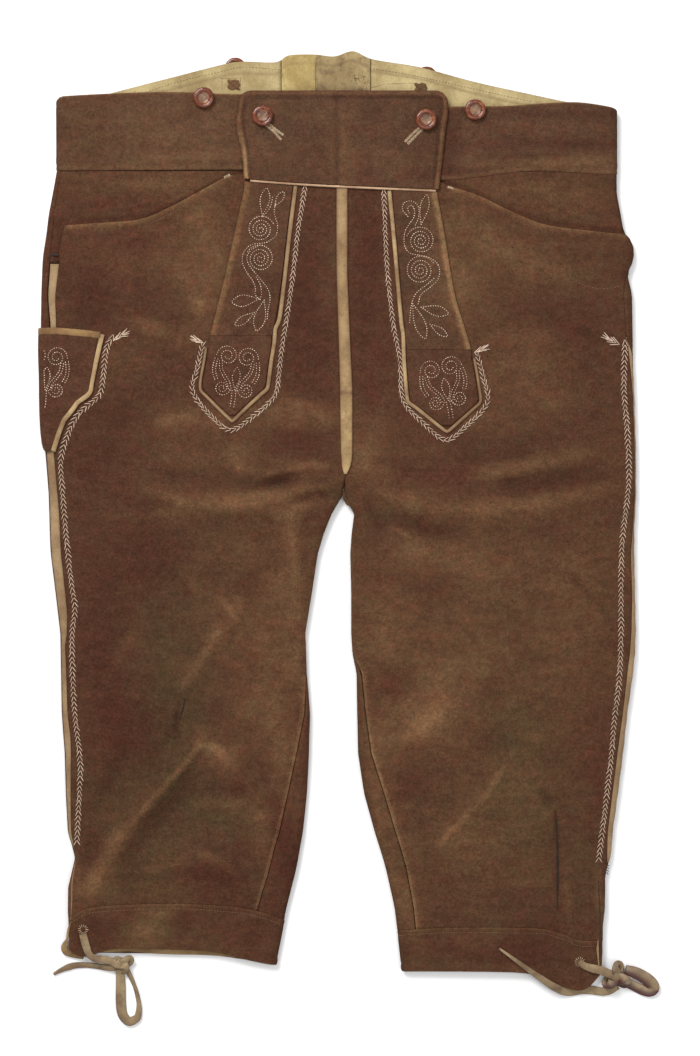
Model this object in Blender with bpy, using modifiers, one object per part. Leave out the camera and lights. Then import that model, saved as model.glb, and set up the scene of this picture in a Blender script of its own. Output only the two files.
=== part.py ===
"""Knee-length leather breeches (lederhosen), lying flat on their back.

Metres, +Z up. +Y runs from the knees to the waist, +X to the wearer's left, the front is up and the back rests on
z = 0. The tables are in millimetres. Each leg is a flattened tube: a section is taken at each height, and the
pieces are laid along that section's wall, so neighbours share a seam and what is sewn on lies a gap above.
"""

from collections import namedtuple
from math import cos, pi, radians, sin

import bmesh
import bpy
import numpy as np

MM = 0.001

SUEDE_WALL = 1.8
YOKE_WALL = 1.6
WAIST_WALL = 2.2
BACK_WAIST_WALL = 2.0
FACING_WALL = 1.2
FLAP_WALL = 2.2
STRIP_WALL = 1.4
CREAM_WALL = 1.2
POCKET_WALL = 1.6
CUFF_WALL = 2.2

SEAM_GAP = 0.5
EDGE_GAP = 0.7
LAY_GAP = 0.5
POCKET_GAP = 0.7
FOLD_SEAM_GAP = 1.1

CROTCH_Y = 22.0
CROTCH_BLEND = 16.0
BUTTON_LIFT = 5.2
PUFF_REACH = 70.0

# Level of each layer's middle above the middle of the front leather.
LEVEL_YOKE = -2.3
LEVEL_WAIST = 0.3
LEVEL_STRIP = SUEDE_WALL / 2 + LAY_GAP + STRIP_WALL / 2
LEVEL_CENTRE_STRIP = SUEDE_WALL / 2 + LAY_GAP + CREAM_WALL / 2
LEVEL_FLAP = LEVEL_WAIST + WAIST_WALL / 2 + LAY_GAP + FLAP_WALL / 2
LEVEL_FACING = BACK_WAIST_WALL / 2 + LAY_GAP + FACING_WALL / 2
LEVEL_POCKET = SUEDE_WALL / 2 + POCKET_GAP + POCKET_WALL / 2
POCKET_LIFT = POCKET_GAP + POCKET_WALL

YOKE_TOP_Y = 302.0
YOKE_LAP = 14.0
YOKE_INSET = 5.0
YOKE_MOUTH_Y = 284.0
YOKE_INNER_X = {"right": -82.0, "left": 86.0}
PIPING_WIDTH = 3.7
PIPING_HEIGHT = 2.0
BUTTON_RADIUS = 9.0
BUTTON_SEGMENTS = 18
LACE_WIDTH = 6.0
LACE_THICKNESS = 1.8

Body = namedtuple("Body", "y loft puff")
BODY = [
    Body(400, 10.4, 0.0),
    Body(345, 10.4, 0.0),
    Body(320, 9.6, 0.0),
    Body(298, 9.0, 0.0),
    Body(260, 8.6, 0.8),
    Body(215, 8.2, 1.6),
    Body(160, 8.0, 2.0),
    Body(90, 8.0, 3.0),
    Body(0, 8.0, 4.0),
    Body(-100, 8.0, 4.5),
    Body(-200, 7.6, 4.5),
    Body(-280, 7.0, 3.6),
    Body(-330, 6.0, 1.8),
    Body(-405, 5.0, 0.8),
]

# outer and inner are the leg's outline; back_run and front_run are where the side seam's two edges lie, measured
# along the wall from the outer fold; inseam is how far the inner seam lies on the front, from the inner outline.
Leg = namedtuple("Leg", "y outer back_run front_run inner inseam")
RIGHT_LEG = [
    Leg(364, 239.0, 0.2, 0.2, None, 0),
    Leg(298, 239.0, 2.3, 5.0, None, 0),
    Leg(278, 243.0, 3.2, 10.0, None, 0),
    Leg(260, 246.5, 5.2, 15.0, None, 0),
    Leg(243, 248.5, 6.6, 16.6, None, 0),
    Leg(227, 251.0, 7.8, 16.6, None, 0),
    Leg(192, 252.8, 6.8, 14.4, None, 0),
    Leg(158, 253.0, 8.6, 14.6, None, 0),
    Leg(107, 252.5, 8.0, 14.0, None, 0),
    Leg(74, 251.0, 5.0, 13.0, None, 0),
    Leg(56, 249.0, 1.0, 11.2, None, 0),
    Leg(22, 246.5, 1.0, 11.6, None, 0),
    Leg(6, 246.0, 1.0, 11.8, 5.1, 0),
    Leg(-11, 245.6, 1.0, 12.2, 11.9, 0),
    Leg(-28, 244.8, 1.0, 12.6, 17.0, 0),
    Leg(-62, 240.6, 1.0, 13.4, 22.1, 0),
    Leg(-96, 236.6, 1.0, 10.5, 27.6, 0),
    Leg(-130, 236.0, 1.0, 8.5, 26.4, 0),
    Leg(-164, 235.4, 1.0, 9.8, 23.8, 3.6),
    Leg(-198, 232.9, 1.0, 9.0, 24.7, 9.6),
    Leg(-232, 232.0, 1.0, 7.0, 26.4, 15.2),
    Leg(-266, 229.4, 1.0, 5.0, 29.8, 19.4),
    Leg(-279, 226.0, 0.8, 3.8, 31.8, 21.0),
    Leg(-294, 226.8, -0.3, 0.8, 34.6, 22.2),
    Leg(-330, 230.5, -0.3, 0.6, 43.5, 24.0),
    Leg(-368, 229.5, -0.3, 0.6, 50.5, 24.0),
    Leg(-405, 229.5, -0.3, 0.6, 55.0, 24.0),
]
LEFT_LEG = [
    Leg(364, 237.2, 0.2, 0.2, None, 0),
    Leg(298, 237.2, 2.3, 3.0, None, 0),
    Leg(278, 237.4, 2.4, 3.4, None, 0),
    Leg(260, 240.5, 2.6, 4.4, None, 0),
    Leg(243, 247.0, 3.2, 5.6, None, 0),
    Leg(227, 249.0, 5.4, 6.6, None, 0),
    Leg(192, 250.8, 8.6, 9.0, None, 0),
    Leg(158, 251.0, 7.4, 7.8, None, 0),
    Leg(140, 251.2, 0.6, 5.4, None, 0),
    Leg(107, 252.6, -1.0, 4.2, None, 0),
    Leg(56, 254.2, -1.0, 4.2, None, 0),
    Leg(22, 254.2, -1.0, 4.2, None, 0),
    Leg(6, 253.3, -1.0, 4.2, 13.6, 0),
    Leg(-11, 252.6, -1.0, 4.2, 11.4, 0),
    Leg(-28, 252.6, -1.0, 4.2, 10.2, 0),
    Leg(-62, 253.3, -1.0, 4.4, 11.0, 0),
    Leg(-96, 254.0, -1.0, 4.4, 11.0, 0),
    Leg(-113, 253.3, -1.0, 4.4, 12.0, 0),
    Leg(-130, 251.6, -1.0, 4.4, 15.8, 3.4),
    Leg(-164, 246.8, -1.0, 4.4, 16.2, 6.4),
    Leg(-198, 243.1, -1.0, 4.4, 17.0, 10.4),
    Leg(-232, 238.9, -1.0, 4.4, 22.1, 16.2),
    Leg(-266, 234.0, -1.0, 4.4, 31.4, 17.0),
    Leg(-279, 233.0, -1.0, 4.2, 35.5, 17.0),
    Leg(-294, 231.0, -0.5, 0.8, 40.0, 16.9),
    Leg(-330, 227.6, -0.3, 0.6, 48.2, 15.4),
    Leg(-368, 225.6, -0.3, 0.6, 52.6, 14.5),
    Leg(-405, 224.0, -0.3, 0.6, 56.5, 14.5),
]

# x of the centre seam, from the waist down to the crotch.
Centre = namedtuple("Centre", "y x")
CENTRE = [Centre(400, 3.4), Centre(210, 3.4), Centre(112, 7.0), Centre(51, 7.4), Centre(36, 6.0), Centre(22, 4.5)]

# The slit beside the flap: x of its line on each side.
Slit = namedtuple("Slit", "y right left")
SLIT = [
    Slit(289, -35.4, 43.0),
    Slit(246, -40.8, 47.0),
    Slit(200, -45.9, 51.0),
    Slit(163, -52.6, 55.0),
    Slit(112, -59.4, 57.6),
    Slit(60, -66.0, 62.0),
    Slit(0, -74.0, 66.0),
    Slit(-100, -84.0, 76.0),
    Slit(-340, -98.0, 98.0),
]
SLIT_END_Y = {"right": 163.0, "left": 163.0}

# Height where the knee slit at the outer side begins, and how far the edges take to part.
KNEE_SLIT_Y = {"right": -280.0, "left": -296.0}
KNEE_SLIT_BLEND = 36.0

Fold = namedtuple("Fold", "x0 y0 x1 y1 x2 y2 half_width height")
FOLDS = [
    Fold(-190, 36, -100, -6, -8, 26, 12, 3.4),
    Fold(-84, 34, -45, 50, -6, 38, 9, 2.0),
    Fold(-165, 78, -110, 88, -88, 66, 14, 1.8),
    Fold(14, 36, 100, -14, 240, 32, 14, 3.6),
    Fold(108, 32, 165, 48, 234, 58, 12, 2.4),
    Fold(32, 12, 80, -30, 150, -18, 12, -2.0),
    Fold(-116, -186, -150, -226, -219, -322, 12, 4.4),
    Fold(-92, -84, -120, -118, -139, -150, 12, 2.0),
    Fold(-168, -190, -190, -220, -202, -252, 14, -2.0),
    Fold(-177, -296, -128, -276, -84, -304, 10, 2.0),
    Fold(146, -203, 118, -246, 78, -280, 12, 3.0),
    Fold(104, -120, 70, -160, 66, -200, 22, 2.0),
]

# Heights at which the legs' sections are taken.
PANEL_ROWS = [
    294, 270, 240, 215, 190, 163, 138, 112, 88, 66, 52, 38, 30, 22, 14, 4, -10, -28,
    -56, -88, -122, -156, -190, -218, -248, -279, -294, -314, -338,
]
UPPER_ANCHOR_Y = 215.0
LOWER_ANCHOR_Y = -279.0

# Top edge of each front leg piece: the pocket mouth, then the part under the flap's waistband.
Edge = namedtuple("Edge", "x y")
FRONT_TOP = {
    "right": [
        Edge(-260, 250), Edge(-231, 250.5), Edge(-190, 253), Edge(-161, 256), Edge(-137, 267), Edge(-110, 283),
        Edge(-92, 293), Edge(-78, 294), Edge(-60, 288.6), Edge(10, 288.6),
    ],
    "left": [
        Edge(-10, 288.6), Edge(78, 288.6), Edge(94, 283.6), Edge(118, 276), Edge(145, 262), Edge(172, 251),
        Edge(208, 246), Edge(244, 242), Edge(260, 241),
    ],
}
CUFF_SEAM = {
    "right": [
        Edge(-236, -340), Edge(-224, -336), Edge(-207, -329), Edge(-144, -326), Edge(-93, -328.5), Edge(-67, -333),
        Edge(-47, -339.5), Edge(-30, -342),
    ],
    "left": [
        Edge(30, -350), Edge(52, -349), Edge(97, -346.5), Edge(167, -347), Edge(192, -352), Edge(206, -357.5),
        Edge(240, -357.5),
    ],
}
HEM_FRONT = {
    "right": [
        Edge(-236, -364), Edge(-228, -366), Edge(-217, -371), Edge(-189, -364), Edge(-144, -364.5),
        Edge(-110, -366), Edge(-93, -369), Edge(-54, -377), Edge(-40, -378),
    ],
    "left": [
        Edge(40, -383.5), Edge(121, -383.5), Edge(162, -385), Edge(175, -389.5), Edge(197, -397.3),
        Edge(207, -399.8), Edge(215, -397.5), Edge(222, -390), Edge(226, -384),
    ],
}
HEM_BACK = {
    "right": [Edge(-240, -368), Edge(-110, -369.5), Edge(-54, -377), Edge(-40, -378)],
    "left": [Edge(40, -383.5), Edge(226, -383.5)],
}

# Waistbands: top and bottom edges over x.
FRONT_WAIST_TOP = {
    "right": [Edge(-240, 356), Edge(-235, 360), Edge(-149, 363.8), Edge(-81, 361.8), Edge(10, 361.8)],
    "left": [Edge(-10, 351.6), Edge(94, 351.6), Edge(128, 351.6), Edge(172, 354), Edge(204, 355), Edge(233, 350.6),
             Edge(238, 347)],
}
FRONT_WAIST_BOTTOM = {
    "right": [Edge(-240, 297.6), Edge(-80, 298.4), Edge(10, 298.4)],
    "left": [Edge(-10, 289.6), Edge(88, 289.6), Edge(118, 292), Edge(163, 297), Edge(238, 294)],
}
BACK_WAIST_TOP = [
    Edge(-240, 355), Edge(-234, 359), Edge(-203, 362), Edge(-151, 374.5), Edge(-101, 387.3), Edge(-83, 390.5),
    Edge(-53, 390), Edge(-42, 395.8), Edge(-20, 396.6), Edge(-3, 395), Edge(13, 399.4), Edge(30, 392.4),
    Edge(70, 385.6), Edge(118, 372.8), Edge(172, 361), Edge(204, 355), Edge(234, 350), Edge(240, 347),
]
BACK_WAIST_BOTTOM = {
    "right": [Edge(-240, 297.8), Edge(0, 298)],
    "left": [Edge(0, 298), Edge(200, 297), Edge(238, 294)],
}
WAIST_MIDDLE_Y = 325.0
WAIST_BACK_PARTS = (0.0, 0.15, 0.35, 0.6, 0.8, 1.0)
# Columns of the back waistband, from the side towards the gusset, where it ends.
WAIST_BACK_X = {
    "right": [-224, -204, -184, -164, -142, -120, -96, -72, -48.6, -42],
    "left": [222, 202, 182, 162, 140, 118, 94, 70, 48, 28.1, 21.5],
}
GUSSET_X = {"right": [-48, -42, -30, -19.6], "left": [-19, -4, 10, 21.5, 27.5]}

# Flap waistband outline.
FLAP_TOP_Y = 364.2
FLAP_CORNER = 10.0
FLAP_PIPING_DROP = 2.7
FLAP_BOTTOM = [Edge(-82, 285.4), Edge(-7, 283.6), Edge(84, 278.5)]
Side = namedtuple("Side", "y left right")
FLAP_SIDES = [Side(366, -83.2, 92.4), Side(350, -84.6, 92.6), Side(337, -85.8, 90.8), Side(308, -81.0, 88.0),
              Side(276, -79.0, 84.4)]

# Embroidered strips beside the flap, with the x of the outer folded edge and of the piping's middle.
Strip = namedtuple("Strip", "y outer inner")
STRIPS = {
    "right": [
        Strip(281.6, -79.2, -36.2), Strip(246, -87.1, -40.8), Strip(210, -95.0, -44.9), Strip(178, -102.9, -49.4),
        Strip(157, -108.4, -53.6),
    ],
    "left": [
        Strip(276.6, 84.0, 43.9), Strip(241, 90.6, 47.4), Strip(192, 98.9, 51.9), Strip(164, 107.4, 54.4),
        Strip(145, 112.9, 55.8),
    ],
}
# The pointed tongue under each strip: the line of its piping, from the inner side round the point.
Route = namedtuple("Route", "x y")
TONGUE = {
    "right": [
        Route(-54.1, 151), Route(-56.8, 134.4), Route(-59.1, 116), Route(-60.6, 111.4), Route(-65.5, 107),
        Route(-76.9, 96.5), Route(-88.2, 85.4), Route(-89.9, 84.2), Route(-91.5, 85.6), Route(-99.7, 93.4),
        Route(-111.1, 104.8), Route(-116.0, 109.6), Route(-117.0, 113.4), Route(-116.4, 121), Route(-113.9, 134.4),
        Route(-111.9, 147),
    ],
    "left": [
        Route(55.9, 139), Route(57.2, 120), Route(58.8, 104), Route(60.4, 100), Route(66.5, 95.6),
        Route(78.5, 86), Route(90.6, 76.4), Route(92.6, 75.4), Route(94.6, 76.6), Route(104.5, 85.4),
        Route(116, 95.6), Route(120.4, 99.8), Route(121.2, 103.6), Route(120, 112), Route(117.8, 126),
        Route(115.6, 138),
    ],
}
PIPING_TOP = {
    "right": [Route(-36.2, 280.6), Route(-40.8, 246), Route(-45.9, 200.3), Route(-49.6, 172.2), Route(-53.2, 162.4)],
    "left": [Route(43.8, 277.2), Route(47.0, 246), Route(50.9, 200.3), Route(53.8, 168.0), Route(55.4, 157.0)],
}
CENTRE_STRIP_ROWS = [279.9, 250, 210, 170, 140, 112, 84, 58, 46, 39.5]
CENTRE_STRIP_HALF = [4.6, 4.7, 4.5, 4.7, 4.9, 5.2, 5.0, 4.8, 3.6, 1.0]

# Knife pocket on the right side: each column's distance along the wall from the outer fold, and how low it reaches.
Pocket = namedtuple("Pocket", "top_run foot_run foot")
KNIFE_POCKET = [
    Pocket(55.5, 46.5, 109), Pocket(40.0, 37.5, 101), Pocket(24.0, 24.0, 86), Pocket(15.5, 15.5, 68),
    Pocket(11.8, 11.8, 60), Pocket(8.8, 8.8, 56), Pocket(5.8, 5.8, 55.4), Pocket(2.9, 2.9, 58),
    Pocket(0.0, 0.0, 64), Pocket(-2.9, -2.9, 71), Pocket(-5.8, -5.8, 79), Pocket(-9.0, -9.0, 88),
    Pocket(-14.0, -14.0, 101), Pocket(-25.0, -18.0, 109),
]
POCKET_TOP_Y = 155.0
# Its piping runs down the front edge: distance along the wall, and height.
POCKET_EDGE = [(55.5, 155), (51.5, 132), (46.5, 109), (37.5, 101), (24.0, 86), (15.5, 68), (9.5, 56)]
POCKET_BINDING_HEIGHT = 6.0
POCKET_PIPING_WIDTH = 3.4

Button = namedtuple("Button", "name x y face")
BUTTONS = [
    Button("button_flap_right", -63.8, 343.0, "flap"),
    Button("button_flap_left", 74.8, 339.8, "flap"),
    Button("button_waist_right", -113.9, 358.6, "waist"),
    Button("button_waist_left", 116.5, 348.4, "waist"),
    Button("button_back_right", -87.5, 386.0, "back"),
    Button("button_back_left", 75.6, 378.4, "back"),
]
# Half of a button's section: distance from its axis and height, in a ring from the underside over the rim.
BUTTON_RING = [(5.5, 0.0), (8.4, 0.9), (9.0, 2.2), (8.4, 3.8), (7.2, 4.3), (5.9, 3.6), (4.6, 2.7)]

PATCHES = {"button_patch_right": (-88.6, 370.6), "button_patch_left": (70.4, 367.8)}
PATCH_WIDTH = 11.0
PATCH_HEIGHT = 8.4

# Laces: each strap's middle line.
Stop = namedtuple("Stop", "x y z")
LACES = {
    "lace_right_tie": [
        Stop(-216.6, -352, 9.4), Stop(-215.4, -359, 9.3), Stop(-213.6, -365.5, 9.2), Stop(-209.6, -371.4, 9.0),
        Stop(-204.4, -374.4, 7.8), Stop(-199.0, -375.2, 6.6), Stop(-194.4, -375.4, 6.0),
    ],
    "lace_right_end": [
        Stop(-194.7, -381.2, 3.3), Stop(-199.0, -381.0, 2.2), Stop(-205.0, -380.2, 1.4), Stop(-214.5, -379.2, 1.1), Stop(-226.0, -379.8, 1.0),
        Stop(-236.0, -383.4, 1.0), Stop(-242.6, -387.0, 1.0),
    ],
    "lace_right_loop": [
        Stop(-187.6, -384.7, 3.9), Stop(-187.2, -390.0, 2.0), Stop(-186.6, -398.0, 1.1), Stop(-186.2, -412.0, 1.0), Stop(-183.6, -422.5, 1.0),
        Stop(-177.4, -428.0, 1.0), Stop(-171.4, -423.6, 1.0), Stop(-170.2, -412.0, 1.0), Stop(-173.4, -398.0, 1.1),
        Stop(-177.2, -390.0, 2.0), Stop(-178.8, -384.7, 3.9),
    ],
    "lace_left_tie": [
        Stop(204.4, -374.4, 9.2), Stop(209.4, -378.4, 9.1), Stop(215.4, -380.6, 9.0), Stop(221.0, -381.8, 9.0),
        Stop(225.6, -382.8, 9.3), Stop(229.2, -384.0, 10.0),
    ],
    "lace_left_end": [
        Stop(222.4, -405.4, 1.3), Stop(214.0, -406.6, 1.1), Stop(204.0, -406.8, 1.0), Stop(195.0, -405.2, 1.6),
        Stop(188.0, -401.8, 4.2), Stop(181.5, -397.4, 8.0), Stop(175.5, -392.6, 9.8), Stop(166.0, -385.4, 10.3),
        Stop(150.0, -373.0, 10.5), Stop(137.0, -363.6, 10.6),
    ],
    "lace_left_loop": [
        Stop(249.4, -381.4, 4.6), Stop(253.4, -382.4, 3.0), Stop(258.6, -384.2, 1.6), Stop(265.5, -388.0, 1.1), Stop(270.2, -394.0, 1.0),
        Stop(269.0, -400.4, 1.0), Stop(262.5, -402.6, 1.0), Stop(256.0, -401.0, 1.3),
        Stop(252.0, -399.6, 2.8), Stop(249.0, -398.4, 4.4),
    ],
}
Knot = namedtuple("Knot", "name x y z rx ry rz")
KNOTS = [
    Knot("knot_right", -184.0, -377.6, 4.4, 10.4, 6.6, 4.0),
    Knot("knot_left", 237.2, -389.4, 5.2, 12.2, 14.6, 4.8),
]

PAINT = {
    "suede": ((0.105, 0.055, 0.034), 0.92),
    "strip": ((0.130, 0.075, 0.046), 0.90),
    "cream": ((0.500, 0.370, 0.210), 0.80),
    "facing": ((0.620, 0.470, 0.280), 0.82),
    "gusset": ((0.420, 0.320, 0.140), 0.82),
    "button": ((0.260, 0.070, 0.030), 0.25),
    "lace": ((0.380, 0.290, 0.170), 0.78),
}


def clear_scene():
    for obj in list(bpy.data.objects):
        bpy.data.objects.remove(obj, do_unlink=True)


def collection(name):
    made = bpy.data.collections.new(name)
    bpy.context.scene.collection.children.link(made)
    return made


def smooth(value):
    held = np.clip(value, 0.0, 1.0)
    return held * held * (3 - 2 * held)


def over(rows, key, column, at):
    """Value of a table's column at a height or x, joined by straight lines."""
    rows = sorted((row for row in rows if getattr(row, column) is not None), key=lambda row: getattr(row, key))
    return np.interp(at, [getattr(row, key) for row in rows], [getattr(row, column) for row in rows])


def sign_of(side):
    return -1.0 if side == "right" else 1.0


def leg_rows(side):
    return RIGHT_LEG if side == "right" else LEFT_LEG


def crotch_factor(y):
    """1 where the legs are two tubes, 0 where they are one body."""
    return float(smooth(1.0 - (y - CROTCH_Y) / CROTCH_BLEND))


def fold_height(x, y):
    x, y = np.broadcast_arrays(np.asarray(x, float), np.asarray(y, float))
    total = np.zeros(x.shape)
    steps = np.linspace(0.0, 1.0, 9)
    for fold in FOLDS:
        ax = (1 - steps) ** 2 * fold.x0 + 2 * steps * (1 - steps) * fold.x1 + steps**2 * fold.x2
        ay = (1 - steps) ** 2 * fold.y0 + 2 * steps * (1 - steps) * fold.y1 + steps**2 * fold.y2
        nearest = np.full(x.shape, 1e9)
        along = np.zeros(x.shape)
        for i in range(len(steps) - 1):
            dx, dy = ax[i + 1] - ax[i], ay[i + 1] - ay[i]
            part = np.clip(((x - ax[i]) * dx + (y - ay[i]) * dy) / (dx * dx + dy * dy), 0.0, 1.0)
            apart = np.hypot(x - ax[i] - part * dx, y - ay[i] - part * dy)
            closer = apart < nearest
            along = np.where(closer, steps[i] + part * (steps[i + 1] - steps[i]), along)
            nearest = np.minimum(nearest, apart)
        ends = smooth(along / 0.25) * smooth((1 - along) / 0.25)
        total += fold.height * ends * np.exp(-((nearest / fold.half_width) ** 2))
    return total


def back_lift(x, y):
    """How far the back lies off the floor, over the back buttons and over the knife pocket."""
    x, y = np.broadcast_arrays(np.asarray(x, float), np.asarray(y, float))
    over_buttons = BUTTON_LIFT * smooth((y - 322) / 38) * smooth((228 - np.abs(x)) / 70)
    beside = smooth((x + 186) / -34)
    over_pocket = POCKET_LIFT * beside * smooth((188 - y) / 22) * smooth((y - 26) / 24)
    return over_buttons + over_pocket


class Section:
    """The wall of one leg at a height. The run is 0 at the outer fold, grows over the front to the inner fold, and
    is negative along the back."""

    def __init__(self, side, y):
        rows = leg_rows(side)
        sign = sign_of(side)
        half = SUEDE_WALL / 2
        open_crotch = crotch_factor(y)
        outer = over(rows, "y", "outer", y) - half
        inset = SEAM_GAP / 2 + 0.95 * open_crotch
        centre = sign * over(CENTRE, "y", "x", y) + inset
        if y < CROTCH_Y:
            below = over(rows, "y", "inner", y) + half
            top_row = max(row.y for row in rows if row.inner is not None)
            inner = centre + (below - centre) * min(1.0, (CROTCH_Y - y) / (CROTCH_Y - top_row))
        else:
            inner = centre
        loft = over(BODY, "y", "loft", y)
        puff = over(BODY, "y", "puff", y)
        outer_radius = (loft - back_lift(sign * (outer - 4), y)) / 2
        inner_radius = (loft - back_lift(sign * (inner + 4), y)) / 2
        turn = 1 - np.cos(np.linspace(0, pi / 2, 9))
        middle = np.linspace(outer_radius, outer - inner - inner_radius, 30)[1:-1]
        apart = np.concatenate([outer_radius * turn, middle, (outer - inner) - inner_radius * turn[::-1]])
        from_inner = (outer - inner) - apart
        x = sign * (outer - apart)
        slit = float(smooth((KNEE_SLIT_Y[side] - y) / KNEE_SLIT_BLEND))
        outer_fold = 1 - (1 - slit) * (1 - self.round_over(apart, outer_radius))
        inner_fold = 1 - open_crotch * (1 - self.round_over(from_inner, inner_radius))
        swell = smooth(apart / PUFF_REACH) * (1 - open_crotch * (1 - smooth(from_inner / PUFF_REACH)))
        near_edge = smooth(apart / 24) * (1 - open_crotch * (1 - smooth(from_inner / 24)))
        top = loft + half + puff * swell + fold_height(x, y) * near_edge
        bottom = back_lift(x, y) + half
        mid = (top + bottom) / 2
        self.sign = sign
        self.front = np.stack([x, mid + (top - mid) * outer_fold * inner_fold], axis=1)
        self.back = np.stack([x, mid - (mid - bottom) * outer_fold * inner_fold], axis=1)
        self.front_run = self.runs(self.front)
        self.back_run = self.runs(self.back)

    @staticmethod
    def round_over(apart, radius):
        """Share of the full height at a distance from a fold's outermost line."""
        return np.sqrt(1 - np.clip(1 - apart / radius, 0, 1) ** 2)

    @staticmethod
    def runs(path):
        return np.concatenate([[0.0], np.cumsum(np.hypot(*np.diff(path, axis=0).T))])

    def run_at_x(self, x):
        """Run over the front at which the wall reaches x."""
        ends = self.sign * self.front[:, 0]
        return float(np.interp(-self.sign * x, -ends, self.front_run))

    def on_path(self, run):
        if run >= 0:
            path, runs, run = self.front, self.front_run, min(run, self.front_run[-1])
        elif -run <= self.back_run[-1]:
            path, runs, run = self.back, self.back_run, -run
        else:
            path, runs = self.front, self.front_run
            run = self.front_run[-1] - (-run - self.back_run[-1])
        return np.array([np.interp(run, runs, path[:, 0]), np.interp(run, runs, path[:, 1])])

    def point(self, run, out=0.0):
        """x and z of the wall at a run, moved outwards from it."""
        here = self.on_path(run)
        if out == 0.0:
            return here
        ahead = self.on_path(run + 0.6) - self.on_path(run - 0.6)
        ahead /= np.hypot(*ahead)
        across = self.sign * np.array([ahead[1], -ahead[0]])
        return here + out * across


SECTIONS = {}


def section(side, y):
    key = (side, round(float(y), 3))
    if key not in SECTIONS:
        SECTIONS[key] = Section(side, float(y))
    return SECTIONS[key]


def wall_point(side, y, run, out=0.0):
    x, z = section(side, y).point(run, out)
    return (x, y, z)


def front_level(x, y):
    """Height of the middle of the front leather at x, y."""
    side = "right" if x < over(CENTRE, "y", "x", y) else "left"
    path = section(side, y).front
    order = np.argsort(path[:, 0])
    return float(np.interp(x, path[order, 0], path[order, 1]))


def paint(name, kind):
    colour, rough = PAINT[kind]
    material = bpy.data.materials.new(name)
    material.use_nodes = True
    shader = material.node_tree.nodes["Principled BSDF"]
    shader.inputs["Base Color"].default_value = (*colour, 1.0)
    shader.inputs["Roughness"].default_value = rough
    return material


def finish(name, mesh, kind):
    mesh.materials.append(paint(name, kind))
    obj = bpy.data.objects.new(name, mesh)
    GARMENT.objects.link(obj)
    return obj


def cloth(name, grid, wall, kind, slit=None):
    """Cloth of even thickness through a grid of points. slit gives a column and how many rows of it are cut apart."""
    body = bmesh.new()
    rows = [[body.verts.new([value * MM for value in point]) for point in row] for row in grid]
    twins = {}
    if slit:
        column, cut_rows = slit
        for j in range(cut_rows):
            x, y, z = grid[j][column]
            shift = SEAM_GAP / 2 * (1 if grid[j][0][0] < grid[j][-1][0] else -1)
            rows[j][column].co.x = (x - shift) * MM
            twins[j] = body.verts.new(((x + shift) * MM, y * MM, z * MM))
    for j in range(len(rows) - 1):
        for i in range(len(rows[0]) - 1):
            corners = [rows[j][i], rows[j + 1][i], rows[j + 1][i + 1], rows[j][i + 1]]
            if slit and i == slit[0]:
                corners[0] = twins.get(j, corners[0])
                corners[1] = twins.get(j + 1, corners[1])
            body.faces.new(corners)
    bmesh.ops.recalc_face_normals(body, faces=body.faces)
    mesh = bpy.data.meshes.new(name)
    body.to_mesh(mesh)
    body.free()
    obj = finish(name, mesh, kind)
    thick = obj.modifiers.new("wall", "SOLIDIFY")
    thick.thickness = wall * MM
    thick.offset = 0.0
    return obj


def spread(start, end, near_start, near_end, count):
    """Places from start to end: given distances near both ends, and an even spread between."""
    first = [start + (d if end > start else -d) for d in near_start]
    last = [end - (d if end > start else -d) for d in reversed(near_end)]
    between = np.linspace(first[-1], last[0], count + 2)[1:-1]
    return [*first, *between, *last]


def panel_height(nominal, top, bottom):
    """A row's height at a column whose panel ends at top and bottom."""
    return float(np.interp(nominal, [PANEL_ROWS[-1], LOWER_ANCHOR_Y, UPPER_ANCHOR_Y, PANEL_ROWS[0]],
                           [bottom, LOWER_ANCHOR_Y, UPPER_ANCHOR_Y, top]))


def inseam_run(side, y, wall):
    """Run over the front of the inner seam."""
    whole = wall.front_run[-1]
    if y >= CROTCH_Y:
        return whole
    inseam = over(leg_rows(side), "y", "inseam", y)
    if inseam <= 0:
        return whole
    inner = abs(wall.front[-1, 0])
    return wall.run_at_x(wall.sign * (inner + inseam))


def inseam_gap(y):
    """Gap between the legs' front and back pieces: wider where the seam lies on the inner fold."""
    return SEAM_GAP + (FOLD_SEAM_GAP - SEAM_GAP) * crotch_factor(y)


def front_runs(side, y):
    wall = section(side, y)
    start = over(leg_rows(side), "y", "front_run", y)
    slit_x = over(SLIT, "y", side, y)
    slit = wall.run_at_x(slit_x)
    end = inseam_run(side, y, wall) - inseam_gap(y) / 2
    outer_part = spread(start, slit, [0, 1.2, 4, 9, 20], [0], 5)
    inner_part = spread(slit, end, [0], [0, 1.2, 3.6, 7.5, 16], 1)
    return outer_part + inner_part[1:], len(outer_part) - 1


def front_leg(side):
    grid, slit_column = [], 0
    cut_rows = 0
    for nominal in PANEL_ROWS:
        flat_runs, slit_column = front_runs(side, nominal)
        xs = [section(side, nominal).point(run)[0] for run in flat_runs]
        row = []
        for i, x in enumerate(xs):
            top = over(FRONT_TOP[side], "x", "y", x)
            bottom = over(CUFF_SEAM[side], "x", "y", x) + SEAM_GAP
            y = panel_height(nominal, top, bottom)
            row.append(wall_point(side, y, front_runs(side, y)[0][i]))
        grid.append(row)
        cut_rows += nominal > SLIT_END_Y[side]
    cloth(f"front_{side}", grid, SUEDE_WALL, "suede", slit=(slit_column, cut_rows))


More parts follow.
